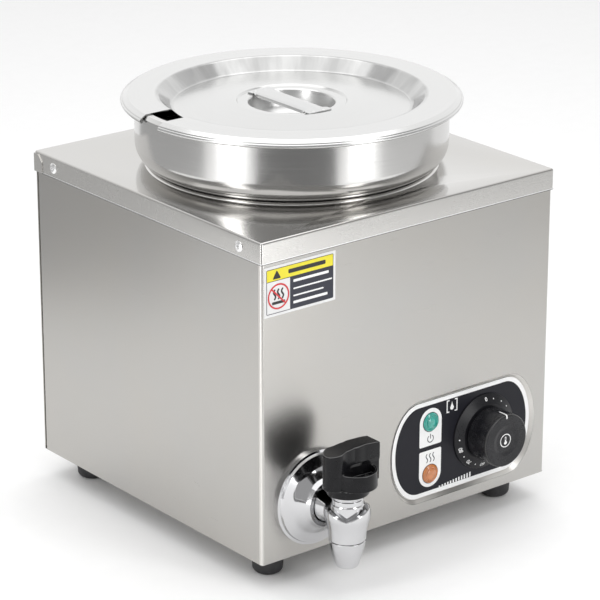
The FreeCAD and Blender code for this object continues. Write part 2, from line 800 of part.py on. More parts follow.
def thermostat():
    """Capillary thermostat behind the panel, with the bush that carries its shaft."""
    bush_bore = dim("shaft_radius") + dim("running_gap")
    plate = box("bracket_plate", (-19, 0, -17), (19, 1.2, 17))
    bush = cylinder("bracket_bush", 4.3, 6.4, (0, -5.2, 0), "Y")
    drilled = cut(
        "bracket_solid",
        fuse("bracket_blank", plate, bush),
        cylinder("bush_bore", bush_bore, 12, (0, -6, 0), "Y"),
        cylinder("tapped_left", 1.75, 4, (-14, -1, 0), "Y"),
        cylinder("tapped_right", 1.75, 4, (14, -1, 0), "Y"),
    )
    node("thermostat_bracket", drilled, panel_spot(PANEL_BACK_Y))
    case = fuse(
        "case_blank",
        cylinder("case_round", 16.5, THERMOSTAT_DEPTH - 8, (0, 0, 0), "Y"),
        box("case_block", (-13, 0, -16.5), (13, THERMOSTAT_DEPTH, 4)),
        box("blade_left", (-8.4, THERMOSTAT_DEPTH - 1, -12), (-7.6, THERMOSTAT_DEPTH + 7, -6)),
        box("blade_right", (7.6, THERMOSTAT_DEPTH - 1, -12), (8.4, THERMOSTAT_DEPTH + 7, -6)),
    )
    hollow = cut(
        "case_solid",
        case,
        cylinder("case_bore", bush_bore, 14, (0, -1, 0), "Y"),
        cylinder("screw_room_left", 2.2, 6, (-14, -1, 0), "Y"),
        cylinder("screw_room_right", 2.2, 6, (14, -1, 0), "Y"),
    )
    node("thermostat_body", hollow, panel_spot(BRACKET_BACK_Y))


def thermostat_shaft():
    """Spindle with a flat at its outer end, which the knob pushes onto."""
    length = 32.0
    front = KNOB_BASE_Y - 14.5
    bar = cylinder("shaft_bar", "Sizes.shaft_radius", length, (0, 0, 0), "Y")
    flat = box("shaft_flat", (-4, -1, 1.5), (4, 11, 4))
    node("thermostat_shaft", cut("spindle", bar, flat), panel_spot(front))


def thermostat_screws():
    facing_front = Rotation(Vector(1, 0, 0), 90)
    node("thermostat_screws", group("bracket_screws", *[
        screw("bracket_screw", 3.5, 2.2, 1.7, 6.4, (x, 0, 0), facing_front) for x in (-14, 14)
    ]), panel_spot(LABEL_FRONT_Y))


KNOB_BASE_Y = LABEL_FRONT_Y - 5.2
KNOB_LENGTH = 20.5


def dial_ring():
    """Fixed ring with a sloping face for the temperature scale."""
    radius = dim("dial_radius")
    ring = turned("scale_ring", [
        (4.6, 0),
        (radius, 0),
        (radius, -1.3, 0.5),
        (radius - 7.2, -4.6, 0.9),
        (4.6, -4.6),
    ], "Y")
    rooms = [cylinder("screw_room", 4.2, 3.2, (x, -3.2, 0), "Y") for x in (-14, 14)]
    node("dial_ring", cut("relieved_ring", ring, *rooms), panel_spot(LABEL_FRONT_Y))


def control_knob():
    """Deep round knob, hollow behind, with a hub on the shaft and a shallow dish in its face."""
    radius = dim("knob_radius")
    knob = turned("knob_turning", [
        (0, -15.0),
        (0, 0.9 - KNOB_LENGTH),
        (9.0, 0.9 - KNOB_LENGTH, 6.0),
        (12.0, 0.1 - KNOB_LENGTH, 4.0),
        (radius, -KNOB_LENGTH, 1.6),
        (radius - 0.4, 0, 0.4),
        (radius - 2.6, 0),
        (radius - 2.6, -15.0, 2.0),
        (6.0, -15.0),
        (6.0, -1.0),
        (3.02, -1.0),
        (3.02, -15.0),
    ], "Y")
    node("control_knob", knob, panel_spot(KNOB_BASE_Y))


def control_label():
    """Flat printed plate stuck into the recess, pierced for the lamps and the shaft."""
    plate = custom("label_plate", racetrack_plate(
        dim("label_half_width"), dim("label_half_height"), 24.5, LABEL_FRONT_Y, RECESS_FLOOR_Y))
    place(plate, ("Sizes.panel_x", 0, "Sizes.panel_z"))
    start = LABEL_FRONT_Y - 1
    holes = [
        cylinder("lamp_window", 6.05, 3, ("Sizes.lamp_x", start, "Sizes." + level), "Y")
        for level in ("power_lamp_z", "heating_lamp_z")
    ]
    holes.append(cylinder("bush_window", 4.5, 3, panel_spot(start), "Y"))
    holes += [cylinder("screw_window", 2.1, 3, panel_spot(start, x), "Y") for x in (-14, 14)]
    node("control_label", cut("label_solid", plate, *holes))


def pilot_lamps():
    """Two signal lamps: a coloured lens with a bevelled rim in a tubular body."""
    rim = dim("lamp_radius")
    through = PANEL_BACK_Y - LABEL_FRONT_Y
    for name in ("power_lamp", "heating_lamp"):
        spot = ("Sizes.lamp_x", LABEL_FRONT_Y, "Sizes.%s_z" % name)
        lens = turned("lens", [
            (0, 5.0),
            (0, -2.3),
            (3.9, -2.3, 2.0),
            (5.0, -1.7, 0.5),
            (5.6, -2.2, 0.4),
            (rim, -0.9, 0.6),
            (rim, 0),
            (4.4, 0),
            (4.4, 5.0),
        ], "Y")
        node(name + "_lens", lens, spot)
        tube = cylinder("lamp_tube", 5.9, 17.0, (0, 0, 0), "Y")
        clip = cylinder("push_nut", 8.4, 1.4, (0, through, 0), "Y")
        blades = [box("lamp_blade", (x - 0.4, 16, -2.4), (x + 0.4, 22, 2.4)) for x in (-2.6, 2.6)]
        shell = cut("lamp_shell", fuse("lamp_blank", tube, clip, *blades), cylinder("lens_socket", 4.45, 9, (0, -1, 0), "Y"))
        node(name + "_body", shell, spot)


def capillary():
    """Thin copper tube from the thermostat to the sensing bulb in the water."""
    case_x = dim("dial_x")
    case_under = dim("dial_z") - 16.5
    low = 40.0
    line = round_tube([
        (BULB_X, BULB_GLAND_Y, dim("tank_floor") - 8.0),
        (BULB_X, BULB_GLAND_Y, low),
        (case_x, BRACKET_BACK_Y + 16, low),
        (case_x, BRACKET_BACK_Y + 16, case_under),
    ], 8.0, 1.0)
    node("capillary_tube", custom("capillary_line", line))
    floor = dim("tank_floor")
    level = floor + 10.0
    lead = round_tube([
        (BULB_X, BULB_GLAND_Y, floor - 8.0),
        (BULB_X, BULB_GLAND_Y, level),
        (BULB_X, BULB_GLAND_Y + 12, level),
    ], 6.0, 1.0)
    bulb = cylinder("bulb_rod", 3.0, 78.0, (BULB_X, BULB_GLAND_Y + 11.5, level), "Y")
    gland = cylinder("bulb_gland", 3.0, 12.0, (BULB_X, BULB_GLAND_Y, floor - 7.0))
    flange = cylinder("bulb_flange", 5.0, 2.0, (BULB_X, BULB_GLAND_Y, floor + dim("tank_sheet")))
    lower = hexagon("bulb_nut", 9.0, 4.0, (BULB_X, BULB_GLAND_Y, floor - 4.0))
    node("sensing_bulb", fuse("bulb_solid", custom("bulb_lead", lead), bulb, gland, flange, lower))


# ---------------------------------------------------------------- tap
SEAM = -19.7
SEAT = -14.2
BONNET_FOOT = -3.0
BONNET_TOP = 16.8
VALVE_LIFT = 4.0
TAP_SPOT = ("Sizes.tap_x", TAP_Y, "Sizes.tap_z")


def tap_escutcheon():
    """Spun trim plate that covers the hole in the front."""
    wall = dim("tap_reach")
    node("tap_escutcheon", turned("trim_plate", sheet_outline([
        (34.3, wall),
        (34.3, wall - 2.0, 0.9),
        (32.7, wall - 2.2, 0.5),
        (32.0, wall - 4.2, 0.9),
        (25.0, wall - 6.2, 7.0),
        (18.4, wall - 12.6, 5.0),
        (16.8, wall - 15.6, 1.0),
        (14.4, wall - 15.6),
    ], 1.0), "Y"), TAP_SPOT)


def tap_body():
    """Chromed shank and barrel with a V-cut collar round the bonnet."""
    wall = dim("tap_reach")
    shank = turned("tap_shank", [
        (0, 0),
        (10.6, 0),
        (11.4, 12.0, 3.0),
        (14.0, wall - 15.2, 0.8),
        (14.0, wall - 12.6, 0.5),
        (10.0, wall - 12.6),
        (10.0, wall + 22, 0.8),
        (6.5, wall + 22),
        (6.5, wall + 37, 1.0),
        (0, wall + 37),
    ], "Y")
    bulge = dim("chamber_radius")
    barrel = turned_edges("tap_barrel", [
        Part.LineSegment(Vector(0, SEAM, 0), Vector(13.2, SEAM, 0)),
        Part.Arc(Vector(13.2, SEAM, 0), Vector(14.2, -11.0, 0), Vector(bulge, -2.2, 0)),
        Part.Arc(Vector(bulge, -2.2, 0), Vector(bulge - 0.5, 4.2, 0), Vector(13.6, 9.6, 0)),
        Part.LineSegment(Vector(13.6, 9.6, 0), Vector(0, 9.6, 0)),
        Part.LineSegment(Vector(0, 9.6, 0), Vector(0, SEAM, 0)),
    ])
    wedge = Part.Face(Part.makePolygon([
        Vector(0, -30, -1.2),
        Vector(24, -30, 8.2),
        Vector(24, -30, 14),
        Vector(-24, -30, 14),
        Vector(-24, -30, 8.2),
        Vector(0, -30, -1.2),
    ])).extrude(Vector(0, 60, 0))
    notch = custom("collar_notch", wedge)
    place(notch, (0, 0, 0), Rotation(Vector(0, 0, 1), -42))
    node("tap_body", cut(
        "tap_casting",
        fuse("tap_blank", shank, barrel),
        notch,
        cylinder("collar_bore", dim("bonnet_radius") + 0.02, 20, (0, 0, BONNET_FOOT)),
        cylinder("chamber", 9.0, 12, (0, 0, SEAT)),
        cylinder("outlet_bore", 5.0, 12, (0, 0, SEAM - 1)),
        cylinder("shank_bore", 4.5, wall + 40, (0, 0, 0), "Y"),
    ), TAP_SPOT)


def tap_nozzle():
    """Tapered outlet screwed in below the seam."""
    top = SEAM - 0.25
    tip = SEAM - 20.5
    node("tap_nozzle", turned_edges("outlet", [
        Part.LineSegment(Vector(5.5, tip, 0), Vector(7.6, tip, 0)),
        Part.Arc(Vector(7.6, tip, 0), Vector(8.1, tip + 0.2, 0), Vector(8.3, tip + 0.7, 0)),
        Part.Arc(Vector(8.3, tip + 0.7, 0), Vector(11.9, tip + 13.2, 0), Vector(13.2, top, 0)),
        Part.LineSegment(Vector(13.2, top, 0), Vector(4.95, top, 0)),
        Part.LineSegment(Vector(4.95, top, 0), Vector(4.95, SEAM + 3.5, 0)),
        Part.LineSegment(Vector(4.95, SEAM + 3.5, 0), Vector(4.0, SEAM + 3.5, 0)),
        Part.LineSegment(Vector(4.0, SEAM + 3.5, 0), Vector(4.0, top - 4, 0)),
        Part.LineSegment(Vector(4.0, top - 4, 0), Vector(5.5, top - 5.5, 0)),
        Part.LineSegment(Vector(5.5, top - 5.5, 0), Vector(5.5, tip, 0)),
    ]), TAP_SPOT)


def tap_bonnet():
    """Chromed plug in the collar that guides the valve stem and carries the handle."""
    radius = dim("bonnet_radius")
    plug = turned("bonnet_plug", [
        (dim("stem_radius") + dim("running_gap"), 5.0),
        (7.5, 5.0),
        (7.5, BONNET_FOOT),
        (radius, BONNET_FOOT),
        (radius, 7.4, 0.6),
        (radius - 0.7, 8.2, 0.4),
        (radius - 0.7, BONNET_TOP, 0.8),
        (dim("stem_radius") + dim("running_gap"), BONNET_TOP),
    ])
    port = cylinder("side_port", 4.5, 14, (0, 0, 0), "Y")
    node("tap_bonnet", cut("bonnet", plug, port), TAP_SPOT)


def valve_stem():
    """Rising stem: a foot that holds the seat washer, and a plain spindle up into the handle."""
    radius = dim("stem_radius")
    node("valve_stem", turned("stem_turning", [
        (0, SEAT + 2.8),
        (5.2, SEAT + 2.8),
        (5.2, SEAT + 4.2, 0.4),
        (radius, SEAT + 4.2),
        (radius, 27.0, 0.5),
        (0, 27.0),
    ]), TAP_SPOT)
    node("seat_washer", turned("washer_turning", [
        (0, SEAT),
        (7.5, SEAT, 0.4),
        (7.5, SEAT + 2.8, 0.4),
        (0, SEAT + 2.8),
    ]), TAP_SPOT)


def tap_seals():
    inside = FRONT_Y + dim("body_sheet")
    seal = washer("panel_washer", 10.05, 15.0, 2.0, axis="Y")
    node("tap_washer", seal, ("Sizes.tap_x", inside, "Sizes.tap_z"))
    lock = nut("lock_nut", 27.0, 10.05, 6.0, axis="Y")
    node("tap_lock_nut", lock, ("Sizes.tap_x", inside + 2.0, "Sizes.tap_z"))


HANDLE_FOOT = 15.4


def lever_edges(grow=0.0):
    """Plan of the lever: a round end, a waist and a square-cut grip end."""
    end_x, end_r = -11.6, 8.5 + grow
    tip_x = 23.2 + grow
    waist = 5.1 + grow
    tip = 6.3 + grow
    edges = [Part.Arc(Vector(end_x, end_r, 0), Vector(end_x - end_r, 0, 0), Vector(end_x, -end_r, 0))]
    for side in (-1, 1):
        shoulder = Vector(end_x, side * end_r, 0)
        neck = Vector(0.5, side * waist, 0)
        corner = Vector(tip_x, side * tip, 0)
        edges.append(Part.Arc(shoulder, Vector(-6.0, side * (waist + 1.7), 0), neck))
        edges.append(Part.Arc(neck, Vector(12.0, side * (waist + 1.1), 0), corner))
    edges.append(Part.LineSegment(Vector(tip_x, -tip, 0), Vector(tip_x, tip, 0)))
    return edges


def tap_handle():
    """Moulded quarter-turn handle: lever bar, rounded skirt with pockets, and a foot collar."""
    lobe_x, lobe_y, lobe_r = 3.0, 5.5, 15.0
    low, shelf, top = 21.6, 33.8, 49.8
    lever = place(padded("lever_bar", lever_edges(), top - low), (0, 0, low))
    lobes = [cylinder("skirt_lobe", lobe_r, shelf - low, (lobe_x, s * lobe_y, low)) for s in (-1, 1)]
    collar = turned("foot_collar", [
        (0, HANDLE_FOOT),
        (15.2, HANDLE_FOOT, 0.6),
        (16.4, low),
        (0, low),
    ])
    skirt = fuse("skirt", *lobes)
    pockets = cut(
        "pockets",
        fuse("pocket_lobes", *[
            cylinder("pocket_lobe", lobe_r - 1.8, 8, (lobe_x, s * lobe_y, shelf - 5.5)) for s in (-1, 1)
        ]),
        place(padded("pocket_core", lever_edges(), 12), (0, 0, shelf - 6.5)),
    )
    soft_skirt = rounded("soft_skirt", skirt, 0.7, lambda edge: edge.CenterOfMass.z > shelf - 0.01)
    soft_lever = rounded("soft_lever", lever, 0.9, lambda edge: edge.CenterOfMass.z > top - 0.01)
    solid = fuse("handle_solid", cut("hollow_skirt", soft_skirt, pockets), soft_lever, collar)
    node("tap_handle", cut(
        "handle_moulding",
        solid,
        cylinder("bonnet_room", 12.3, 4.2, (0, 0, HANDLE_FOOT - 1)),
        cylinder("stem_room", dim("stem_radius") + dim("running_gap"), 18, (0, 0, HANDLE_FOOT)),
        cylinder("grub_hole", 1.5, 6, (9.5, -9.5, shelf - 9)),
    ), TAP_SPOT)
    node("handle_grub_screw", cylinder("grub_screw", 1.5, 3.8, (0, 0, 0)),
         ("Sizes.tap_x + 9.5", TAP_Y - 9.5, "Sizes.tap_z + (%s)" % (shelf - 9)))


def drain_line():
    """Brass elbow under the tank, silicone hose to the tap's tail, and two clamps."""
    floor = dim("tank_floor")
    level = dim("tap_z")
    elbow = fuse(
        "elbow_blank",
        cylinder("elbow_flange", 10.0, 2.0, (0, 0, floor + dim("tank_sheet") - level)),
        cylinder("elbow_neck", 7.0, floor + 2.0 - level, (0, 0, 0)),
        hexagon("elbow_nut", 17.0, 4.0, (0, 0, floor - 4.0 - level)),
        cylinder("elbow_round", 8.0, 16.0, (0, -8.0, 0), "Y"),
        cylinder("elbow_barb", 6.5, 24.0, (0, -28.0, 0), "Y"),
    )
    bored = cut(
        "elbow_solid",
        elbow,
        cylinder("elbow_down_bore", 4.5, floor + 6.0 - level, (0, 0, 0)),
        cylinder("elbow_side_bore", 4.5, 30.0, (0, -30.0, 0), "Y"),
    )
    node("drain_elbow", bored, (DRAIN_X, DRAIN_Y, level))
    start = FRONT_Y + 24.0
    finish = DRAIN_Y - 11.0
    node("drain_hose", washer("hose", 6.52, 9.0, finish - start, (0, 0, 0), "Y"), (DRAIN_X, start, level))
    clamps = []
    for y in (start + 6.0, finish - 10.0):
        band = washer("clamp_band", 9.0, 9.9, 5.0, (0, 0, 0), "Y")
        ear = box("clamp_ear", (-3, 0, 9.4), (3, 5, 14.5))
        clamps.append(place(fuse("hose_clamp", band, ear), (0, y, 0)))
    node("hose_clamps", group("all_clamps", *clamps), (DRAIN_X, 0, level))


# ---------------------------------------------------------------- electrics
EARTH_X = -20.0
EARTH_Y = 108.0
BLOCK_X = 20.0
BLOCK_Y = 96.0


def cable_gland():
    """Gland for the supply cord at the back: body, domed cap, rubber seal and lock nut."""
    panel = dim("body_sheet")
    spot = ("Sizes.gland_x", BACK_Y, "Sizes.gland_z")
    body = cut(
        "gland_body_solid",
        fuse(
            "gland_body_blank",
            cylinder("gland_thread", 10.0, 10.0, (0, -panel - 9.2, 0), "Y"),
            hexagon("gland_hex", 22.0, 4.5, (0, 0, 0), "Y"),
            cylinder("gland_neck", 8.6, 7.0, (0, 0, 0), "Y"),
        ),
        cylinder("gland_way", 6.0, 24.0, (0, -12, 0), "Y"),
    )
    node("gland_body", body, spot)
    cap = turned("gland_cap_turning", [
        (8.65, 4.8),
        (10.6, 4.8, 0.4),
        (10.6, 12.0, 1.0),
        (8.0, 16.2, 2.5),
        (5.2, 16.2, 0.6),
        (5.2, 12.6),
        (8.65, 12.6),
    ], "Y")
    node("gland_cap", cap, spot)
    seal = washer("seal_ring", 3.6, 5.9, 9.0, axis="Y")
    node("gland_seal", seal, ("Sizes.gland_x", BACK_Y + 2.5, "Sizes.gland_z"))
    lock = nut("gland_lock_nut", 24.0, 10.05, 4.5, axis="Y")
    node("gland_nut", lock, ("Sizes.gland_x", BACK_Y - panel - 4.5, "Sizes.gland_z"))


def terminal_block():
    """Three-way connector strip on the casing floor."""
    block = box("strip", (-21, -10, 0), (21, 10, 14))
    ways = []
    for x in (-14, 0, 14):
        ways.append(cylinder("wire_way", 2.6, 24, (x, -12, 5), "Y"))
        ways.append(cylinder("screw_way", 2.4, 8, (x, -5, 8)))
        ways.append(cylinder("screw_way", 2.4, 8, (x, 5, 8)))
    node("terminal_block", cut("strip_solid", block, *ways), (BLOCK_X, BLOCK_Y, BASE_TOP))


def earth_stud():
    stud = cylinder("stud", 2.0, 22.0, (0, 0, -2.0))
    head = hexagon("stud_head", 7.0, 2.4, (0, 0, -dim("body_sheet") - 2.4))
    tag = washer("stud_tag", 2.0, 5.0, 1.0, (0, 0, 0.0))
    holder = hexagon("stud_nut", 7.0, 3.2, (0, 0, 1.0))
    node("earth_stud", fuse("stud_solid", stud, head, tag, holder), (EARTH_X, EARTH_Y, BASE_TOP))


def internal_wires():
    """Insulated leads between the strip, the thermostat, the cut-out, the heater and the earth."""
    gauge = 1.3
    way = BASE_TOP + 5.0
    front = BLOCK_Y - 9.0
    blade_y = BRACKET_BACK_Y + THERMOSTAT_DEPTH + 7.0
    blade_z = dim("dial_z") - 9.0
    dial = dim("dial_x")
    (right_x, leg_y), (left_x, _) = element_legs()
    cut_level = dim("tank_floor") - 9.2
    routes = [
        [(BLOCK_X + 14, front, way), (BLOCK_X + 14, 60, way), (100, 20, 36), (100, -70, 36),
         (dial + 8, blade_y + 14, blade_z), (dial + 8, blade_y, blade_z)],
        [(dial - 8, blade_y, blade_z), (dial - 8, blade_y + 16, blade_z), (20, -36, 52),
         (CUTOUT_X + 22, CUTOUT_Y, cut_level), (CUTOUT_X + 9.0, CUTOUT_Y, cut_level)],
        [(CUTOUT_X - 9.0, CUTOUT_Y, cut_level), (CUTOUT_X - 24, CUTOUT_Y, cut_level),
         (-48, 10, 44), (left_x, leg_y - 24, 34), (left_x, leg_y, 34), (left_x, leg_y, 46)],
        [(BLOCK_X, front, way), (BLOCK_X, 70, way), (right_x, leg_y - 8, 33),
         (right_x, leg_y, 35), (right_x, leg_y, 46)],
        [(BLOCK_X - 14, front, way), (BLOCK_X - 14, 74, way), (EARTH_X + 12, 76, 34),
         (EARTH_X, 92, 36), (EARTH_X, EARTH_Y - 5, BASE_TOP + 0.5 + 1.3)],
    ]
    bends = (9.0, 8.0, 7.0, 2.5, 4.0)
    wires = [custom("wire", round_tube(route, bend, gauge)) for route, bend in zip(routes, bends)]
    node("internal_wires", group("loom", *wires))


def info_label():
    """Plain adhesive label near the top left corner of the front."""
    sticker = box("sticker", (0, 0, 0), (62.4, 0.3, 36.2))
    node("info_label", sticker, (-132.0, FRONT_Y - 0.3, 204.4))


# ---------------------------------------------------------------- build
for build in (
    casing_shell, back_panel, back_panel_screws, base_plate, base_screws, feet, foot_fixings,
    top_cover, cover_rivets, pot, lid, lid_handle, water_tank, tank_fixings, heating_element,
    element_fixings, thermal_cutout, thermostat, thermostat_shaft, thermostat_screws, dial_ring,
    control_knob, control_label, pilot_lamps, capillary, tap_escutcheon, tap_body, tap_nozzle,
    tap_bonnet, valve_stem, tap_seals, tap_handle, drain_line, cable_gland, terminal_block,
    earth_stud, internal_wires, info_label,
):
    build()

doc.recompute()

failed = [thing.Name for thing in doc.Objects if {"Invalid", "Error"} & set(thing.State)]
if failed:
    raise RuntimeError("failed features: %s" % failed)
for thing in finished:
    if thing.Shape.isNull() or not thing.Shape.isValid() or thing.Shape.Volume <= 0:
        raise RuntimeError("bad shape: %s" % thing.Label)

os.makedirs("parts", exist_ok=True)
for thing in finished:
    thing.Shape.exportStep("parts/%s.step" % thing.Label)

print("%d sub-parts" % len(finished))
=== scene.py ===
"""Looks of the cheese warmer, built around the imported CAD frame."""
import math

import bmesh
import bpy
from mathutils import Matrix, Vector


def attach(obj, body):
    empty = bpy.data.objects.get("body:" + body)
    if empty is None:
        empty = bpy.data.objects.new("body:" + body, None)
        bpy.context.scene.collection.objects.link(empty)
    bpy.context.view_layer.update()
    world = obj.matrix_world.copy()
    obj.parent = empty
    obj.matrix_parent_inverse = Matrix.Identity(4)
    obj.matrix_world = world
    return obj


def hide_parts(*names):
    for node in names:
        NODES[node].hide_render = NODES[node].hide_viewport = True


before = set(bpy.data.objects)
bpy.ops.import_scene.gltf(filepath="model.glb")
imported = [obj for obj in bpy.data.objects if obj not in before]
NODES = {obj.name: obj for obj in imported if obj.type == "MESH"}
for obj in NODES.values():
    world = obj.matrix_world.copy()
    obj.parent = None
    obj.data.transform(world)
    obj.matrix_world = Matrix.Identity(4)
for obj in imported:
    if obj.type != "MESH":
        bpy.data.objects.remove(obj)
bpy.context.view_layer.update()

MM = 0.001
WELD_REACH = 0.000002
CREASE = 32.0

# Places and thicknesses that several pieces share, in millimetres in the row frame.
CENTRE_Y = 20.0
POT_AXIS = (0, CENTRE_Y, 0)
CASING_X = 134.2
FRONT_Y = -115.2
BACK_Y = 155.2
LABEL_Y = -113.1
DIAL = (73.7, 68.3)
LAMP_X = 22.6
POWER_Z = 88.2
HEATING_Z = 47.5
TAP = (-87.4, -151.7, 61.2)
KNOB_BASE_Y = -118.3
KNOB_LENGTH = 20.5
STRAP_X = -2.5
PRINT = 0.06

# Where patches of steel fade in, in metres: heights, depths and distances from the pot's axis. The cover's
# fold and the recess mark painted light, the well wall painted shade, and the bowl a duller finish.
COVER_FOLD = (0.2572, 0.2582)
RECESS_MOUTH = (-0.11515, -0.1148)
RECESS_FLOOR = (-0.1122, -0.1118)
RECESS_END = (0.1300, 0.1310)
WELL_FOOT = (0.0855, 0.0885)
WELL_BROW = (0.0975, 0.1000)
BOWL_EDGE = (0.0295, 0.0330)


# ------------ node-tree helpers
class Tree:
    """Builds a material's node tree with short calls."""

    def __init__(self, name):
        self.material = bpy.data.materials.new(name)
        self.material.use_nodes = True
        self.nodes = self.material.node_tree.nodes
        self.links = self.material.node_tree.links
        self.shader = self.nodes["Principled BSDF"]
        self.place = self.nodes.new("ShaderNodeTexCoord").outputs["Object"]

    def add(self, kind, **values):
        node = self.nodes.new(kind)
        for key, value in values.items():
            if key in node.inputs:
                self.feed(node.inputs[key], value)
            else:
                setattr(node, key, value)
        return node

    def feed(self, socket, value):
        if isinstance(value, bpy.types.NodeSocket):
            self.links.new(value, socket)
        else:
            socket.default_value = value

    def set(self, **values):
        for key, value in values.items():
            self.feed(self.shader.inputs[key.replace("_", " ")], value)

    def stretched(self, scale):
        """Object coordinates stretched by a scale on each axis."""
        return self.add("ShaderNodeMapping", vector_type="POINT", Vector=self.place, Scale=scale).outputs[0]

    def parts(self, vector):
        """The X, Y and Z sockets of a vector."""
        return self.add("ShaderNodeSeparateXYZ", Vector=vector).outputs

    def vector_math(self, operation, first, second=(0.0, 0.0, 0.0)):
        node = self.add("ShaderNodeVectorMath", operation=operation)
        self.feed(node.inputs[0], first)
        self.feed(node.inputs[1], second)
        return node.outputs

    def from_axis(self):
        """Coordinates measured from the pot's upright axis."""
        return self.vector_math("SUBTRACT", self.place, tuple(c * MM for c in POT_AXIS))[0]

    def radius(self):
        """Distance from the pot's upright axis, in metres."""
        flat = self.vector_math("MULTIPLY", self.from_axis(), (1.0, 1.0, 0.0))[0]
        return self.vector_math("LENGTH", flat)["Value"]

    def around(self, turns, height, radius=0.0):
        """Coordinates that run round the pot's axis: angle, height, and distance from it."""
        parts = self.parts(self.from_axis())
        return self.add(
            "ShaderNodeCombineXYZ",
            X=self.math("MULTIPLY", self.math("ARCTAN2", parts["Y"], parts["X"]), turns),
            Y=self.math("MULTIPLY", parts["Z"], height),
            Z=self.math("MULTIPLY", self.radius(), radius),
        ).outputs[0]

    def ring_tangent(self):
        """Lay the highlights across marks that run round an upright axis."""
        tangent = self.add("ShaderNodeTangent", direction_type="RADIAL", axis="Z")
        self.feed(self.shader.inputs["Tangent"], tangent.outputs[0])

    def math(self, operation, first, second=0.0):
        node = self.add("ShaderNodeMath", operation=operation)
        self.feed(node.inputs[0], first)
        self.feed(node.inputs[1], second)
        return node.outputs[0]

    def noise(self, vector, scale=1.0, detail=4.0, roughness=0.5):
        return self.add(
            "ShaderNodeTexNoise", Vector=vector, Scale=scale, Detail=detail, Roughness=roughness
        ).outputs["Fac"]

    def spread(self, factor, low, high, start=0.25, end=0.75):
        """A number that runs from low to high as the factor runs from start to end."""
        node = self.add("ShaderNodeMapRange", Value=factor)
        for socket, value in (("From Min", start), ("From Max", end), ("To Min", low), ("To Max", high)):
            node.inputs[socket].default_value = value
        return node.outputs[0]

    def blend(self, factor, first, second, how="MIX"):
        """A colour between two colours."""
        node = self.add("ShaderNodeMix", data_type="RGBA", blend_type=how)
        self.feed(node.inputs[0], factor)
        self.feed(node.inputs[6], colour(first))
        self.feed(node.inputs[7], colour(second))
        return node.outputs[2]

    def bump(self, height, strength, distance, under=None):
        node = self.add("ShaderNodeBump", Height=height, Strength=strength, Distance=distance)
        if under is not None:
            self.feed(node.inputs["Normal"], under)
        return node.outputs[0]


def colour(value):
    """Three numbers as a colour; a socket passes through."""
    if isinstance(value, (tuple, list)) and len(value) == 3:
        return (*value, 1.0)
    return value


# ------------ materials
def shaded(tone, share):
    """A tone made darker, or paler where the share is over one."""
    return tuple(min(1.0, c * share) for c in tone)


def sheet_steel(name, tone, rough, grain, wave=0.0, anisotropic=0.35, streak=0.04, smudge=0.03, painted_light_patch=None):
    """Rolled or brushed stainless sheet: fine grain, faint smudges, and slow waves in the sheet.

    A patch is painted light: a part painted paler to lift the shade and dark reflections it shows, and made
    rougher; it gives where it is, and how much paler and rougher.
    """
    t = Tree(name)
    lines = t.noise(t.stretched(grain), 1.0, 5.0, 0.65)
    fine = t.noise(t.stretched(tuple(g * 2.7 for g in grain)), 1.0, 2.0, 0.5)
    clouds = t.noise(t.place, 11.0, 3.0, 0.55)
    marks = t.noise(t.place, 46.0, 4.0, 0.6)
    mixed = t.math("ADD", t.math("MULTIPLY", lines, 0.65), t.math("MULTIPLY", fine, 0.35))
    grained = t.blend(t.spread(mixed, 0, 1, 0.3, 0.7), shaded(tone, 1 - streak), shaded(tone, 1 + streak))
    warm_or_cool = t.blend(clouds, (1.0, 0.985, 0.96), (0.96, 0.975, 1.0))
    surface = t.blend(1.0, grained, warm_or_cool, "MULTIPLY")
    smudges = t.spread(marks, -smudge, smudge)
    rough_now = t.math("ADD", t.spread(mixed, rough - streak, rough + streak), smudges)
    if painted_light_patch:
        where, paler, rougher = painted_light_patch
        inside = where(t)
        # Painted light: inside the patch the colour is painted paler than the sheet.
        surface = t.blend(inside, surface, shaded(tone, paler))
        rough_now = t.math("ADD", rough_now, t.math("MULTIPLY", inside, rougher))
    normal = t.bump(mixed, 0.06, 0.00001)
    if wave:
        slow = t.noise(t.place, 7.5, 1.0, 0.4)
        normal = t.bump(slow, 1.0, wave, normal)
    t.set(Base_Color=surface, Metallic=1.0, Roughness=rough_now, Normal=normal)
    t.set(Anisotropic=anisotropic, Anisotropic_Rotation=0.25)
    return t.material


def on_skirt(t):
    """One on the cover's folded skirt, nought on its top: where the skirt is painted paler, as painted
    light.
    """
    return t.spread(t.parts(t.place)["Z"], 1, 0, *COVER_FOLD)


def on_recess_wall(t):
    """One on the sloping wall of the control recess, nought elsewhere: where the wall is painted paler, as
    painted light against its dark reflections.
    """
    parts = t.parts(t.place)
    past_mouth = t.spread(parts["Y"], 0, 1, *RECESS_MOUTH)
    before_floor = t.spread(parts["Y"], 1, 0, *RECESS_FLOOR)
    before_end = t.spread(parts["X"], 1, 0, *RECESS_END)
    return t.math("MULTIPLY", t.math("MULTIPLY", past_mouth, before_floor), before_end)


def turned_steel(name, tone, rough, lines=2600.0, turns=1.2, anisotropic=0.5, wave=0.0):
    """Polished steel with fine marks that run round the pot's axis."""
    t = Tree(name)
    marks = t.noise(t.around(turns, lines), 1.0, 4.0, 0.6)
    cloud = t.noise(t.place, 18.0, 3.0, 0.55)
    normal = t.bump(marks, 0.10, 0.00003)
    if wave:
        normal = t.bump(t.noise(t.place, 16.0, 1.0, 0.4), 1.0, wave, normal)
    t.set(
        Base_Color=t.blend(t.spread(marks, 0, 1, 0.3, 0.7), shaded(tone, 0.95), shaded(tone, 1.05)),
        Metallic=1.0,
        Roughness=t.math("ADD", t.spread(marks, rough - 0.04, rough + 0.04), t.spread(cloud, -0.03, 0.03)),
        Normal=normal,
        Anisotropic=anisotropic,
    )
    t.ring_tangent()
    return t.material


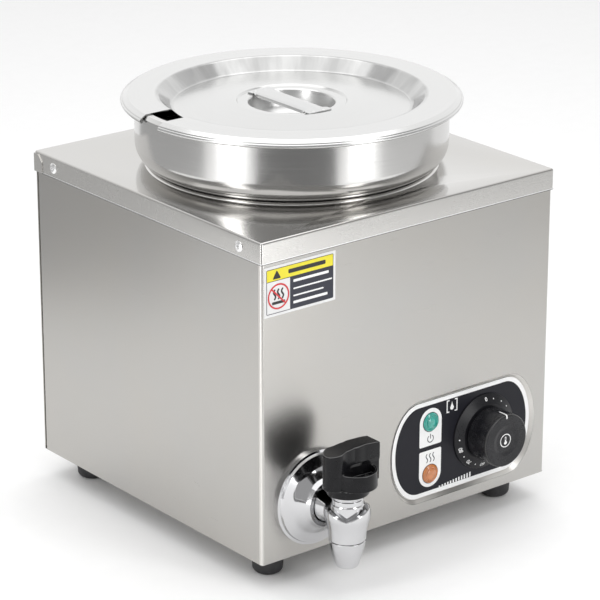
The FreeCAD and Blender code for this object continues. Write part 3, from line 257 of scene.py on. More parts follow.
def lid_steel(name, tone, satin=0.19, polished=0.13, dulled=0.17):
    """Pressed lid: fine rings of satin, a polished well wall painted darker in streaks as painted shade,
    and a duller finger bowl.
    """
    t = Tree(name)
    marks = t.noise(t.around(1.2, 300.0, 2400.0), 1.0, 4.0, 0.6)
    cloud = t.noise(t.place, 18.0, 3.0, 0.55)
    streaks = t.noise(t.around(5.0, 2.0, 20.0), 1.0, 3.0, 0.6)
    radius = t.radius()
    wall = t.math("MULTIPLY", t.spread(radius, 0, 1, *WELL_FOOT), t.spread(radius, 1, 0, *WELL_BROW))
    bowl = t.spread(radius, 1, 0, *BOWL_EDGE)
    rough = t.math("ADD", t.spread(marks, satin - 0.03, satin + 0.03), t.spread(cloud, -0.02, 0.02))
    eased = t.math("ADD", t.math("MULTIPLY", wall, polished - satin), t.math("MULTIPLY", bowl, dulled))
    flat = t.blend(t.spread(marks, 0, 1, 0.3, 0.7), shaded(tone, 0.97), shaded(tone, 1.03))
    # Painted shade: the well wall's colour is darkened in streaks, down to 0.62 of the tone.
    painted_wall_shade = t.blend(t.spread(streaks, 0, 1, 0.35, 0.65), shaded(tone, 0.62), shaded(tone, 0.86))
    t.set(
        Base_Color=t.blend(wall, flat, painted_wall_shade),
        Metallic=1.0,
        Roughness=t.math("ADD", rough, eased),
        Normal=t.bump(marks, 0.08, 0.00002),
        Anisotropic=0.3,
    )
    t.ring_tangent()
    return t.material


def chrome(name, tone=(0.62, 0.62, 0.63)):
    """Chrome plate over a casting: mirror bright with a faint orange peel and dull specks."""
    t = Tree(name)
    peel = t.noise(t.place, 260.0, 2.0, 0.5)
    haze = t.noise(t.place, 70.0, 4.0, 0.6)
    t.set(
        Base_Color=t.blend(haze, shaded(tone, 0.95), tone),
        Metallic=1.0,
        Roughness=t.spread(haze, 0.08, 0.15, 0.35, 0.7),
        Normal=t.bump(peel, 0.25, 0.00006),
    )
    return t.material


def plastic(name, tone, rough, grain=1400.0, depth=0.00004, scuff=0.25, sheen=0.5, edge=None):
    """Moulded plastic: spark-eroded texture, rubbed spots, and paler rounded edges round an axis, a painted
    highlight.
    """
    t = Tree(name)
    skin = t.noise(t.place, grain, 3.0, 0.55)
    rub = t.noise(t.place, 55.0, 5.0, 0.65)
    lighter = tuple(min(1.0, c * (1 + scuff) + 0.006) for c in tone)
    moulded = t.blend(t.spread(rub, 0, 1, 0.4, 0.75), tone, lighter)
    if edge:
        axis, edge_highlight_tone = edge
        # Painted highlight: edges whose normal leans partway to one axis are painted paler.
        tilt = t.math("ABSOLUTE", t.parts(t.add("ShaderNodeNewGeometry").outputs["Normal"])[axis])
        turned = t.math("MULTIPLY", t.spread(tilt, 0, 1, 0.35, 0.5), t.spread(tilt, 1, 0, 0.8, 0.9))
        moulded = t.blend(turned, moulded, (edge_highlight_tone,) * 3)
    t.set(
        Base_Color=moulded,
        Roughness=t.math("ADD", t.spread(rub, rough - 0.02, rough + 0.04), t.spread(skin, -0.02, 0.02)),
        Normal=t.bump(skin, 0.5, depth),
        Specular_IOR_Level=sheen,
    )
    return t.material


def rubber(name, tone):
    """Moulded rubber: dull, with patches of dusty bloom."""
    t = Tree(name)
    skin = t.noise(t.place, 900.0, 3.0, 0.6)
    bloom = t.noise(t.place, 120.0, 4.0, 0.6)
    t.set(
        Base_Color=t.blend(t.spread(bloom, 0, 1, 0.45, 0.8), tone, tuple(c + 0.035 for c in tone)),
        Roughness=t.spread(bloom, 0.5, 0.75),
        Normal=t.bump(skin, 0.6, 0.00006),
    )
    return t.material


def ink(name, tone, rough=0.42, sheen=0.5):
    """Screen-printed ink or film: nearly even colour with fine speckle and a faint peel."""
    t = Tree(name)
    speck = t.noise(t.place, 2400.0, 2.0, 0.5)
    mottle = t.noise(t.place, 60.0, 4.0, 0.6)
    t.set(
        Base_Color=t.blend(t.spread(mottle, 0, 1), shaded(tone, 0.93), shaded(tone, 1.05)),
        Roughness=t.spread(mottle, rough - 0.06, rough + 0.08),
        Normal=t.bump(speck, 0.25, 0.00002),
        Specular_IOR_Level=sheen,
    )
    return t.material


def lens(name, tone, glow):
    """Tinted lamp lens: clear gloss over small cells of a deeper colour, with a faint glow."""
    t = Tree(name)
    cells = t.add("ShaderNodeTexVoronoi", Vector=t.place, Scale=260.0, feature="F1").outputs["Distance"]
    cloud = t.noise(t.place, 300.0, 2.0, 0.5)
    t.set(
        Base_Color=t.blend(t.spread(cells, 0, 1, 0.3, 1.2), tone, shaded(tone, 0.60)),
        Roughness=t.spread(cloud, 0.06, 0.16),
        Normal=t.bump(cells, 0.15, 0.00008),
        Coat_Weight=1.0,
        Coat_Roughness=0.04,
        Subsurface_Weight=0.35,
        Subsurface_Radius=(0.002,) * 3,
        Emission_Color=colour(glow),
        Emission_Strength=0.06,
    )
    return t.material


def hose(name):
    """Milky silicone tube with faint draw lines."""
    t = Tree(name)
    lines = t.noise(t.stretched((900.0, 14.0, 900.0)), 1.0, 3.0, 0.6)
    t.set(
        Base_Color=t.blend(lines, (0.66, 0.65, 0.60), (0.80, 0.79, 0.75)),
        Roughness=t.spread(lines, 0.35, 0.5),
        Subsurface_Weight=0.4,
        Subsurface_Radius=(0.004, 0.004, 0.003),
        Normal=t.bump(lines, 0.3, 0.00004),
    )
    return t.material


FINISH = {
    # The casing's recess wall is painted paler: painted light.
    "casing": sheet_steel("casing_satin", (0.500, 0.488, 0.467), 0.27, (14, 14, 1900), 0.0009, 0.6,
                          streak=0.005, smudge=0.002, painted_light_patch=(on_recess_wall, 1.45, 0.12)),
    # The cover's skirt is painted paler: painted light.
    "cover": sheet_steel("cover_brushed", (0.545, 0.536, 0.520), 0.12, (10, 1900, 1900), 0.0003, 0.3,
                         streak=0.010, smudge=0.010, painted_light_patch=(on_skirt, 1.18, 0.15)),
    "pot": turned_steel("pot_polished", (0.64, 0.635, 0.625), 0.17, turns=1.5, wave=0.00012),
    "collar": turned_steel("bead_polished", (0.60, 0.59, 0.575), 0.12, 2000),
    "lid": lid_steel("lid_satin", (0.645, 0.645, 0.64)),
    "tank": turned_steel("tank_drawn", (0.58, 0.58, 0.57), 0.30, 1500, wave=0.0003),
    "strap": sheet_steel("strap_polished", (0.63, 0.63, 0.625), 0.16, (1600, 60, 1600), 0.0, 0.4, 0.05),
    "rivet": turned_steel("rivet_aluminium", (0.86, 0.86, 0.86), 0.30, 900, turns=3, anisotropic=0.0),
    "zinc": sheet_steel("zinc_plate", (0.66, 0.655, 0.63), 0.32, (500, 500, 500), 0.0, 0.0, 0.10),
    "sheath": sheet_steel("element_sheath", (0.30, 0.265, 0.235), 0.42, (160, 160, 160), 0.0, 0.0, 0.22),
    "chrome": chrome("tap_chrome"),
    "brass": sheet_steel("machined_brass", (0.66, 0.47, 0.20), 0.26, (300, 1500, 300), 0.0, 0.2, 0.10),
    "copper": sheet_steel("drawn_copper", (0.68, 0.36, 0.22), 0.30, (400, 400, 400), 0.0, 0.0, 0.14),
    # The last value on the handle and the knob paints a highlight on their rounded edges.
    "handle": plastic("handle_black", (0.004, 0.004, 0.005), 0.17, 900, 0.00002, 0.3, 0.22, ("Z", 0.11)),
    "knob": plastic("knob_black", (0.010, 0.010, 0.012), 0.26, 1500, 0.00003, 0.4, 0.32, ("Y", 0.045)),
    "dial": plastic("dial_black", (0.008, 0.008, 0.010), 0.28, 1100, 0.00003, 0.4, 0.25),
    "panel": ink("panel_charcoal", (0.014, 0.014, 0.019), 0.36, 0.18),
    "white": ink("print_white", (0.88, 0.88, 0.88)),
    "black": ink("print_black", (0.015, 0.015, 0.016)),
    "navy": ink("print_navy", (0.018, 0.020, 0.035)),
    "yellow": ink("print_yellow", (0.82, 0.72, 0.03)),
    "red": ink("print_red", (0.62, 0.03, 0.04)),
    "film": ink("sticker_film", (0.78, 0.78, 0.78)),
    "green": lens("lens_green", (0.025, 0.34, 0.28), (0.03, 0.5, 0.42)),
    "orange": lens("lens_orange", (0.56, 0.20, 0.06), (0.8, 0.26, 0.07)),
    "lamp": plastic("lamp_black", (0.02, 0.02, 0.02), 0.4),
    "foot": rubber("foot_rubber", (0.022, 0.022, 0.024)),
    "seal": rubber("seal_rubber", (0.05, 0.05, 0.05)),
    "hose": hose("silicone_hose"),
    "gland": plastic("gland_nylon", (0.025, 0.025, 0.026), 0.42),
    "nylon": plastic("natural_nylon", (0.66, 0.64, 0.57), 0.4, 700, 0.00004, 0.12),
    "wire": plastic("wire_sleeve", (0.55, 0.54, 0.50), 0.55, 2400, 0.00010, 0.15),
    "ceramic": plastic("cutout_ceramic", (0.62, 0.60, 0.54), 0.6, 1600, 0.00006, 0.1),
}

FINISH_NODES = {
    "casing": "casing_shell back_panel base_plate",
    "cover": "top_cover",
    "pot": "pot",
    "lid": "lid",
    "strap": "lid_handle",
    "tank": "water_tank",
    "rivet": "cover_rivets",
    "zinc": "back_panel_screws base_screws foot_screws foot_nuts tank_studs tank_nuts element_terminals "
            "thermostat_bracket thermostat_shaft thermostat_screws handle_grub_screw hose_clamps "
            "earth_stud",
    "sheath": "heating_element",
    "chrome": "tap_escutcheon tap_body tap_nozzle tap_bonnet",
    "brass": "element_nuts valve_stem tap_lock_nut drain_elbow",
    "copper": "capillary_tube sensing_bulb",
    "handle": "tap_handle",
    "knob": "control_knob",
    "dial": "dial_ring",
    "panel": "control_label",
    "film": "info_label",
    "green": "power_lamp_lens",
    "orange": "heating_lamp_lens",
    "lamp": "power_lamp_body heating_lamp_body",
    "foot": "foot_front_left foot_front_right foot_back_left foot_back_right",
    "seal": "element_gaskets seat_washer tap_washer gland_seal",
    "hose": "drain_hose",
    "gland": "gland_body gland_cap gland_nut",
    "nylon": "thermostat_body terminal_block",
    "wire": "internal_wires",
    "ceramic": "thermal_cutout",
}


def dress(mesh, material):
    """Give a mesh one material and smooth shading."""
    mesh.materials.clear()
    mesh.materials.append(material)
    mesh.polygons.foreach_set("use_smooth", [True] * len(mesh.polygons))


def dress_frame():
    """Give every CAD node its material and smooth shading across its curved faces."""
    finish_of = {node: FINISH[key] for key, nodes in FINISH_NODES.items() for node in nodes.split()}
    for name, thing in NODES.items():
        dress(thing.data, finish_of[name])
        thing.modifiers.new("weld", "WELD").merge_threshold = WELD_REACH
        thing.modifiers.new("crease", "EDGE_SPLIT").split_angle = math.radians(CREASE)


dress_frame()


# ------------ outlines, in millimetres
def corner(before, here, after, radius, step=9.0):
    """Points of the arc that rounds one corner."""
    here = Vector(here)
    back = (Vector(before) - here).normalized()
    ahead = (Vector(after) - here).normalized()
    half = back.angle(ahead) / 2
    reach = radius / math.tan(half)
    centre = here + (back + ahead).normalized() * (radius / math.sin(half))
    start = here + back * reach - centre
    end = here + ahead * reach - centre
    turn = math.pi - 2 * half
    sign = 1 if start.x * end.y - start.y * end.x > 0 else -1
    count = max(2, math.ceil(math.degrees(turn) / step))
    points = []
    for i in range(count + 1):
        angle = sign * turn * i / count
        points.append((
            centre.x + start.x * math.cos(angle) - start.y * math.sin(angle),
            centre.y + start.x * math.sin(angle) + start.y * math.cos(angle),
        ))
    return points


def rounded(vertices, closed=True):
    """Points along a line whose corners are rounded; each vertex is x, y or x, y, radius."""
    points = []
    count = len(vertices)
    for i, vertex in enumerate(vertices):
        radius = vertex[2] if len(vertex) > 2 else 0.0
        if radius <= 0 or (not closed and i in (0, count - 1)):
            points.append(tuple(vertex[:2]))
        else:
            points += corner(vertices[i - 1][:2], vertex[:2], vertices[(i + 1) % count][:2], radius)
    return points


def beside(path, thickness):
    """The other face of a bent sheet: the path moved to its left, or to its right if negative."""
    normals = []
    for here, there in zip(path, path[1:]):
        run = (Vector(there[:2]) - Vector(here[:2])).normalized()
        normals.append(Vector((-run.y, run.x)))
    moved = []
    for i, vertex in enumerate(path):
        first = normals[max(i - 1, 0)]
        second = normals[min(i, len(path) - 2)]
        miter = (first + second) * (thickness / (1 + first.dot(second)))
        radius = vertex[2] if len(vertex) > 2 else 0.0
        if radius:
            radius = max(radius - thickness, 0.05)
        moved.append((vertex[0] + miter.x, vertex[1] + miter.y, radius))
    return moved


def circle(x, z, radius, count=48):
    return arc(x, z, radius, 0, 360, count)[:-1]


def rectangle(x0, z0, x1, z1, radius=0.0):
    return rounded([(x0, z0, radius), (x1, z0, radius), (x1, z1, radius), (x0, z1, radius)])


def arc(x, z, radius, start, end, count=40):
    """Points along an arc from one angle to another, in degrees."""
    angles = [math.radians(start + (end - start) * i / count) for i in range(count + 1)]
    return [(x + radius * math.cos(a), z + radius * math.sin(a)) for a in angles]


def arc_band(x, z, inner, outer, start, end):
    """A thick arc from one angle to another, in degrees."""
    return arc(x, z, outer, start, end) + arc(x, z, inner, start, end)[::-1]


def racetrack(x, z, half_width, half_height, end, count=40):
    """Straight top and bottom with elliptic ends."""
    angles = [-math.pi / 2 + math.pi * i / count for i in range(count + 1)]
    return [
        (x + side * (half_width - end + end * math.cos(a)), z + side * half_height * math.sin(a))
        for side in (1, -1) for a in angles
    ]


def stroke(points, width):
    """A line of even width along some points, with round ends."""
    half = width / 2
    spots = [Vector(p) for p in points]
    runs = [(b - a).normalized() for a, b in zip(spots, spots[1:])]
    left, right = [], []
    for i, spot in enumerate(spots):
        first = runs[max(i - 1, 0)]
        second = runs[min(i, len(runs) - 1)]
        side = Vector((-(first.y + second.y), first.x + second.x)).normalized() * half
        left.append(spot + side)
        right.append(spot - side)
    cap = []
    for spot, run in ((spots[-1], runs[-1]), (spots[0], -runs[0])):
        base = math.degrees(math.atan2(run.y, run.x))
        cap.append(arc(spot.x, spot.y, half, base + 60, base - 60, 4))
    return [tuple(p) for p in left] + cap[0] + [tuple(p) for p in reversed(right)] + cap[1]


def rising_waves(x, z, gap, sway, height, width, count=16):
    """Three upright waves side by side, the usual picture of heat."""
    return [
        stroke([
            (x + shift + sway * math.sin(2 * math.pi * i / count), z + height * i / count)
            for i in range(count + 1)
        ], width)
        for shift in (-gap, 0, gap)
    ]


def ramp(value, start, length):
    """Nought before the start, one past the length, and straight between."""
    return min(1.0, max(0.0, (value - start) / length))


# ------------ meshes
def placed(name, data):
    """A new object in the scene, round a mesh, curve, light or camera."""
    thing = bpy.data.objects.new(name, data)
    bpy.context.scene.collection.objects.link(thing)
    return thing


def finish_piece(name, mesh, material, body, slot, angle=CREASE, replaces=()):
    """Link a mesh as a piece, shade it, dress it, and let it ride on its body."""
    thing = placed(name, mesh)
    dress(mesh, FINISH[material])
    mesh.set_sharp_from_angle(angle=math.radians(angle))
    mesh.update()
    even = thing.modifiers.new("even_normals", "WEIGHTED_NORMAL")
    even.keep_sharp = True
    even.weight = 60
    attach(thing, body)
    for node in replaces:
        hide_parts(node)


def mesh_from(name, points, faces):
    """A mesh in metres from points in millimetres, with its faces turned outwards."""
    mesh = bpy.data.meshes.new(name)
    mesh.from_pydata([tuple(c * MM for c in p) for p in points], [], faces)
    work = bmesh.new()
    work.from_mesh(mesh)
    bmesh.ops.recalc_face_normals(work, faces=work.faces)
    work.to_mesh(mesh)
    work.free()
    return mesh


def prism_faces(count):
    """Faces of a prism: two ends and the sides between two loops of this many points."""
    sides = [(i, (i + 1) % count, count + (i + 1) % count, count + i) for i in range(count)]
    return [tuple(range(count)), tuple(range(2 * count - 1, count - 1, -1))] + sides


def lathe_mesh(name, outline, at, axis="Z", segments=160, flute=None):
    """Turn a closed outline of (radius, distance along the axis) about an axis through a point.

    flute, if given, takes (angle, radius, distance) and gives the radius to use there.
    """
    points, rings = [], []
    for radius, along in outline:
        on_axis = radius < 1e-6
        ring = []
        for i in range(1 if on_axis else segments):
            angle = 2 * math.pi * i / segments
            r = flute(angle, radius, along) if flute and not on_axis else radius
            u, v = r * math.cos(angle), r * math.sin(angle)
            spot = (u, v, along) if axis == "Z" else (u, along, v)
            ring.append(len(points))
            points.append(tuple(a + b for a, b in zip(at, spot)))
        rings.append(ring)
    faces = []
    for low, high in zip(rings, rings[1:] + rings[:1]):
        for i in range(segments):
            j = (i + 1) % segments
            if len(low) == 1 and len(high) == 1:
                continue
            if len(low) == 1:
                faces.append((low[0], high[i], high[j]))
            elif len(high) == 1:
                faces.append((low[i], high[0], low[j]))
            else:
                faces.append((low[i], high[i], high[j], low[j]))
    return mesh_from(name, points, faces)


def lathe(name, vertices, at, material, body, axis="Z", segments=160, flute=None, **more):
    mesh = lathe_mesh(name, rounded(vertices), at, axis, segments, flute)
    finish_piece(name, mesh, material, body, **more)


def baked(thing):
    """The mesh that an object's modifiers give, and the object gone."""
    bpy.context.view_layer.update()
    graph = bpy.context.evaluated_depsgraph_get()
    mesh = bpy.data.meshes.new_from_object(thing.evaluated_get(graph), depsgraph=graph)
    bpy.data.objects.remove(thing)
    return mesh


def loose(data):
    """A temporary object that holds a mesh or a curve."""
    return placed(data.name + "_work", data)


def carved(mesh, *cutters):
    """A mesh with other closed meshes cut out of it."""
    thing = loose(mesh)
    tools = [loose(c) for c in cutters]
    for tool in tools:
        cut = thing.modifiers.new("cut", "BOOLEAN")
        cut.operation = "DIFFERENCE"
        cut.solver = "EXACT"
        cut.object = tool
    result = baked(thing)
    for tool in tools:
        bpy.data.objects.remove(tool)
    return result


def softened(node, voxel, passes):
    """A copy of a CAD node's mesh with its edges melted round, as on a casting or a moulding."""
    thing = loose(NODES[node].data.copy())
    thing.modifiers.new("weld", "WELD").merge_threshold = WELD_REACH
    skin = thing.modifiers.new("skin", "REMESH")
    skin.mode = "VOXEL"
    skin.voxel_size = voxel * MM
    ease = thing.modifiers.new("ease", "SMOOTH")
    ease.factor = 0.5
    ease.iterations = passes
    return baked(thing)


def prism_mesh(name, outline, low, high, axis="Z"):
    """A closed outline pushed along an axis; for Y the outline is in x and z."""
    points = []
    for level in (low, high):
        for u, v in outline:
            points.append((u, v, level) if axis == "Z" else (u, level, v))
    return mesh_from(name, points, prism_faces(len(outline)))


def flat_fill(name, loops):
    """A filled shape as thin as print, from closed loops; a loop inside another is a hole."""
    data = bpy.data.curves.new(name, "CURVE")
    data.dimensions = "2D"
    data.fill_mode = "BOTH"
    data.extrude = PRINT / 2
    for loop in loops:
        spline = data.splines.new("POLY")
        spline.points.add(len(loop) - 1)
        for point, (u, v) in zip(spline.points, loop):
            point.co = (u, v, 0, 1)
        spline.use_cyclic_u = True
    return baked(loose(data))


def mapped(mesh, rule):
    """Move every point of a mesh by a rule that takes and gives millimetres."""
    for vertex in mesh.vertices:
        vertex.co = Vector(rule(*vertex.co)) * MM
    mesh.update()
    return mesh


def printed(name, loops, face_y, material, body="casing"):
    """A printed shape on a face that looks to the front."""
    middle_y = face_y - PRINT / 2
    mesh = mapped(flat_fill(name, loops), lambda u, v, w: (u, middle_y - w, v))
    finish_piece(name, mesh, material, body, "knob_black" if body == "knob" else "panel_print", 60)


# ------------ pot and lid
def pot_piece():
    """Lift-out pot turned from sheet, with a soft shoulder and a rolled rim."""
    outside = [
        (0, 104.0), (101.7, 104.0, 14), (101.7, 259.4, 4), (114.8, 264.7, 17),
        (114.8, 309.3, 1.2), (118.4, 309.3, 0.8), (120.3, 307.4, 0.8), (120.3, 304.2),
    ]
    outline = rounded(outside, False) + rounded(beside(outside, 0.8), False)[::-1]
    mesh = lathe_mesh("pot_skin", outline, POT_AXIS, segments=288)
    finish_piece("pot_skin", mesh, "pot", "pot", "pot_steel", replaces=["pot"])


def lid_piece():
    """Pressed lid: flat rim, steep well wall, sunken panel, finger bowl and rolled edge."""
    top = [
        (0, 287.6), (25.5, 287.6, 9), (32.0, 303.7, 2.0), (39.6, 303.7, 0.4), (40.6, 304.9, 0.9),
        (88.0, 301.3, 3.5), (97.6, 311.0, 3.2), (119.5, 311.0, 1.6), (123.2, 308.8, 1.2), (123.3, 308.15),
    ]
    bead = arc(123.1, 306.7, 1.6, 70, -200, 18)
    # The underside stops where it meets the rolled bead.
    under = rounded(beside(top[:-1] + [(123.2, 307.6)], -0.8), False)
    under = [point for point in under if point[0] < 122 or point[1] > 307.7]
    blank = lathe_mesh("lid_skin", rounded(top, False) + bead + under[::-1], POT_AXIS, segments=288)
    notch = prism_mesh("notch", rounded([
        (-130, 15.0), (-93, 15.0, 6), (-93, 37.7, 6), (-130, 37.7),
    ]), 290, 320)
    finish_piece("lid_skin", carved(blank, notch), "lid", "lid", "lid_steel", replaces=["lid"])


def collar_piece():
    """Raised bead pressed into the cover round the opening, under the pot's shoulder."""
    middle, half = 105.6, 2.4
    centre_z, radius_squared = 257.74, 7.9
    steps = [half * i / 6 for i in range(-6, 7)]
    crown = [(middle + step, centre_z + math.sqrt(radius_squared - step * step)) for step in steps]
    outline = [(middle - 2.5, 259.1)] + crown + [(middle + 2.5, 259.1)]
    mesh = lathe_mesh("collar", outline, POT_AXIS, segments=288)
    finish_piece("opening_bead", mesh, "collar", "casing", "cover_steel")


def skirt_band(name, inner, outer, low, high, material, slot):
    """A thin band round the casing, between two reaches from its walls and two heights."""
    points = []
    for out, z in ((inner, high), (outer, high - 0.05), (outer, low + 0.05), (inner, low)):
        x, front, back = CASING_X + out, FRONT_Y - out, BACK_Y + out
        points += [(-x, front, z), (x, front, z), (x, back, z), (-x, back, z)]
    faces = [
        (i * 4 + j, i * 4 + (j + 1) % 4, (i + 1) % 4 * 4 + (j + 1) % 4, (i + 1) % 4 * 4 + j)
        for i in range(4) for j in range(4)
    ]
    finish_piece(name, mesh_from(name, points, faces), material, "casing", slot, 30)


def strap_row(y, top, half_length):
    """One cross-section of the strap, its folded edges running out flat towards the ends."""
    fold_end, flat_start, half, drop = 26.6, 31, 8.6, 2.4
    far = abs(y)
    if far >= flat_start:
        half, drop = (9.9 if far > 36 else 10.5), 0.0
    elif far > fold_end:
        ease = (far - fold_end) / (flat_start - fold_end)
        half, drop = half + 0.6 * ease, drop * max(0.0, 1 - 1.6 * ease)
    crown = 0.25 * (1 - (far / half_length) ** 2)
    edge_dip = 0.55 if drop > 0.3 else 0.0
    row = [
        (u * half, y, top - (edge_dip if abs(u) > 0.9 else 0.0) + crown - 0.25)
        for u in (-1, -0.8, -0.4, 0, 0.4, 0.8, 1)
    ]
    lip, lip_z = (half + 0.6, top - drop - 0.2) if drop > 0.05 else (half + 0.02, top - 0.25)
    row = [(-lip, y, lip_z)] + row + [(lip, y, lip_z)]
    return [(x + STRAP_X, along + CENTRE_Y, z) for x, along, z in row]


def strap_piece():
    """Strap across the finger bowl: edges folded down, ends flared flat and spot-welded."""
    top, half_length = 304.95, 36.5
    stations = [-half_length, -35.9, -33, -31, -29.6, -28.6, -27.6, -26.6, -25, -18, -9, 0]
    stations += [-s for s in reversed(stations[:-1])]
    rows = [strap_row(y, top, half_length) for y in stations]
    width = len(rows[0])
    faces = [
        (i * width + j, i * width + j + 1, (i + 1) * width + j + 1, (i + 1) * width + j)
        for i in range(len(rows) - 1) for j in range(width - 1)
    ]
    mesh = mesh_from("strap_sheet", [point for row in rows for point in row], faces)
    thing = loose(mesh)
    skin = thing.modifiers.new("gauge", "SOLIDIFY")
    skin.thickness = 1.1 * MM
    skin.offset = -1 if mesh.polygons[len(mesh.polygons) // 2].normal.z > 0 else 1
    edge = thing.modifiers.new("edge", "BEVEL")
    edge.width = 0.28 * MM
    edge.segments = 2
    edge.limit_method = "ANGLE"
    edge.angle_limit = math.radians(40)
    finish_piece("lid_strap", baked(thing), "strap", "lid", "lid_steel", 40, ["lid_handle"])
    for side_x in (-4.6, 4.6):
        for side_y in (-33.9, 33.9):
            at = (side_x + STRAP_X, CENTRE_Y + side_y, top - 0.16)
            lathe("spot_weld_%d_%d" % (side_x > 0, side_y > 0), [
                (0, -0.1), (0, 0.05), (1.0, 0.05, 0.3), (1.35, 0.17, 0.2), (1.8, 0.16, 0.2), (2.1, -0.1),
            ], at, "strap", "lid", segments=32, slot="lid_steel")


# ------------ tap
def tap_pieces():
    """Chromed tap: spun trim plate, cast body, tapered nozzle and bonnet."""
    wall = 36.5
    plate = [
        (34.3, wall), (34.3, wall - 2.0, 0.9), (32.7, wall - 2.2, 0.5), (32.0, wall - 4.2, 0.9),
        (25.0, wall - 6.2, 7.0), (18.4, wall - 12.6, 5.0), (16.8, wall - 15.6, 1.0), (14.4, wall - 15.6),
    ]
    outline = rounded(plate, False) + rounded(beside(plate, 1.0), False)[::-1]
    mesh = lathe_mesh("trim_plate", outline, TAP, "Y", 224)
    finish_piece("trim_plate", mesh, "chrome", "casing", "tap_chrome", 40, ["tap_escutcheon"])

    body = softened("tap_body", 0.34, 9)
    finish_piece("tap_casting", body, "chrome", "casing", "tap_chrome", 60, ["tap_body"])

    top = -19.95
    tip = -40.2
    lathe("tap_outlet", [
        (5.5, tip, 0.3), (7.7, tip, 0.5), (8.4, tip + 1.2, 0.8), (10.3, tip + 7.3, 30),
        (11.9, tip + 13.2, 30), (13.2, top - 0.3, 0.3), (12.9, top), (4.95, top), (4.95, -16.2),
        (4.0, -16.2), (4.0, top - 4), (5.5, top - 5.5),
    ], TAP, "chrome", "casing", segments=128, slot="tap_chrome", replaces=["tap_nozzle"])

    bonnet = lathe_mesh("tap_bonnet_skin", rounded([
        (3.05, 5.0), (7.5, 5.0), (7.5, -3.0), (12.1, -3.0, 0.3), (12.1, 7.4, 0.6), (11.4, 8.2, 0.4),
        (11.4, 11.4, 0.3), (10.9, 11.8, 0.2), (10.9, 12.4, 0.2), (11.4, 12.8, 0.3), (11.4, 16.8, 0.8),
        (3.05, 16.8),
    ]), TAP, segments=128)
    port = prism_mesh("port", circle(TAP[0], TAP[2], 4.5, 48), TAP[1], TAP[1] + 14, "Y")
    bonnet = carved(bonnet, port)
    finish_piece("tap_bonnet_skin", bonnet, "chrome", "casing", "tap_chrome", 35, ["tap_bonnet"])


def handle_piece():
    """Moulded tap handle: the bar's waist filled out and its top crowned, with edges as in the mould."""
    mesh = softened("tap_handle", 0.24, 3)
    waist_x, waist_reach, waist_fill, bar_fill = 1.2, 10.0, 0.26, 0.11
    crown_x, crown_rise, crown_fall = 7.0, 1.2, 0.0050
    bar_foot, bar_top = 35.5, 40.0
    for vertex in mesh.vertices:
        x, y, z = [c / MM - o for c, o in zip(vertex.co, TAP)]
        waist = max(0.0, 1 - ((x - waist_x) / waist_reach) ** 2) ** 2
        y *= 1 + ramp(z, bar_foot, 3.0) * (waist_fill * waist + bar_fill * ramp(x, -6.0, 9.0))
        z += ramp(z, bar_top, 9.0) * (crown_rise - crown_fall * (x - crown_x) ** 2)
        vertex.co = Vector((x + TAP[0], y + TAP[1], z + TAP[2])) * MM
    mesh.update()
    finish_piece("tap_handle_moulding", mesh, "handle", "tap_handle", "handle_black", 60, ["tap_handle"])


# ------------ control panel
def knob_pieces():
    """Control knob with its pointer line and a thermometer symbol in a ring."""
    x, z = DIAL
    length = KNOB_LENGTH
    rim = 20.4
    lathe("knob_skin", [
        (0, -15.0), (0, 0.9 - length), (9.0, 0.9 - length, 6.0), (12.0, 0.1 - length, 4.0),
        (rim, -length, 1.7), (20.05, -1.6, 0.2), (19.7, -1.2, 0.2), (19.7, 0, 0.3), (17.8, 0, 0.3),
        (17.8, -15.0, 2.0), (6.0, -15.0), (6.0, -1.0, 0.2), (3.02, -1.0), (3.02, -15.0),
    ], (x, KNOB_BASE_Y, z), "knob", "knob", "Y", 192, slot="knob_black", replaces=["control_knob"])

    width, thick, lift = 1.15, 0.12, 0.05
    side = rim + lift
    front = -length - lift
    start, end = 17.4, -length + 8.2
    line = rounded([(start, front), (side, front, 1.7), (side - thick, end)], False)
    inside = [(start, front + thick), (side - thick, front + thick, 1.6), (side - 2 * thick, end)]
    line += rounded(inside, False)[::-1]
    points = []
    for u in (-width / 2, width / 2):
        points += [(x + u, KNOB_BASE_Y + y, z + math.sqrt(r * r - u * u)) for r, y in line]
    pointer = mesh_from("knob_pointer", points, prism_faces(len(line)))
    finish_piece("knob_pointer", pointer, "white", "knob", "dial_black", 40)

    face_y = KNOB_BASE_Y + 0.9 - length
    bulb = arc(x, z - 1.75, 1.35, 118, 422, 30)
    stem = [(x + 0.62, z - 0.55), (x + 0.62, z + 2.6), (x + 0.3, z + 3.05), (x - 0.3, z + 3.05),
            (x - 0.62, z + 2.6), (x - 0.62, z - 0.55)]
    hollow = rectangle(x - 0.25, z + 0.4, x + 0.25, z + 2.4)
    printed("knob_symbol_ring", [circle(x, z, 5.2, 72), circle(x, z, 4.55, 72)], face_y, "white", "knob")
    printed("knob_symbol", [bulb + stem, hollow], face_y, "white", "knob")


def on_cone(angle, shift, rise, lift):
    """A point on the dial's sloping face: angle clockwise from the top, sideways shift, outward rise."""
    middle, rim, rim_height = 25.4, 29.0, 1.3
    tilt = math.radians(24.6)
    radius = middle + rise * math.cos(tilt)
    turn = math.radians(angle) + shift / radius
    out = rim_height + (rim - radius) * math.tan(tilt) + lift
    return (DIAL[0] + radius * math.sin(turn), LABEL_Y - out, DIAL[1] + radius * math.cos(turn))


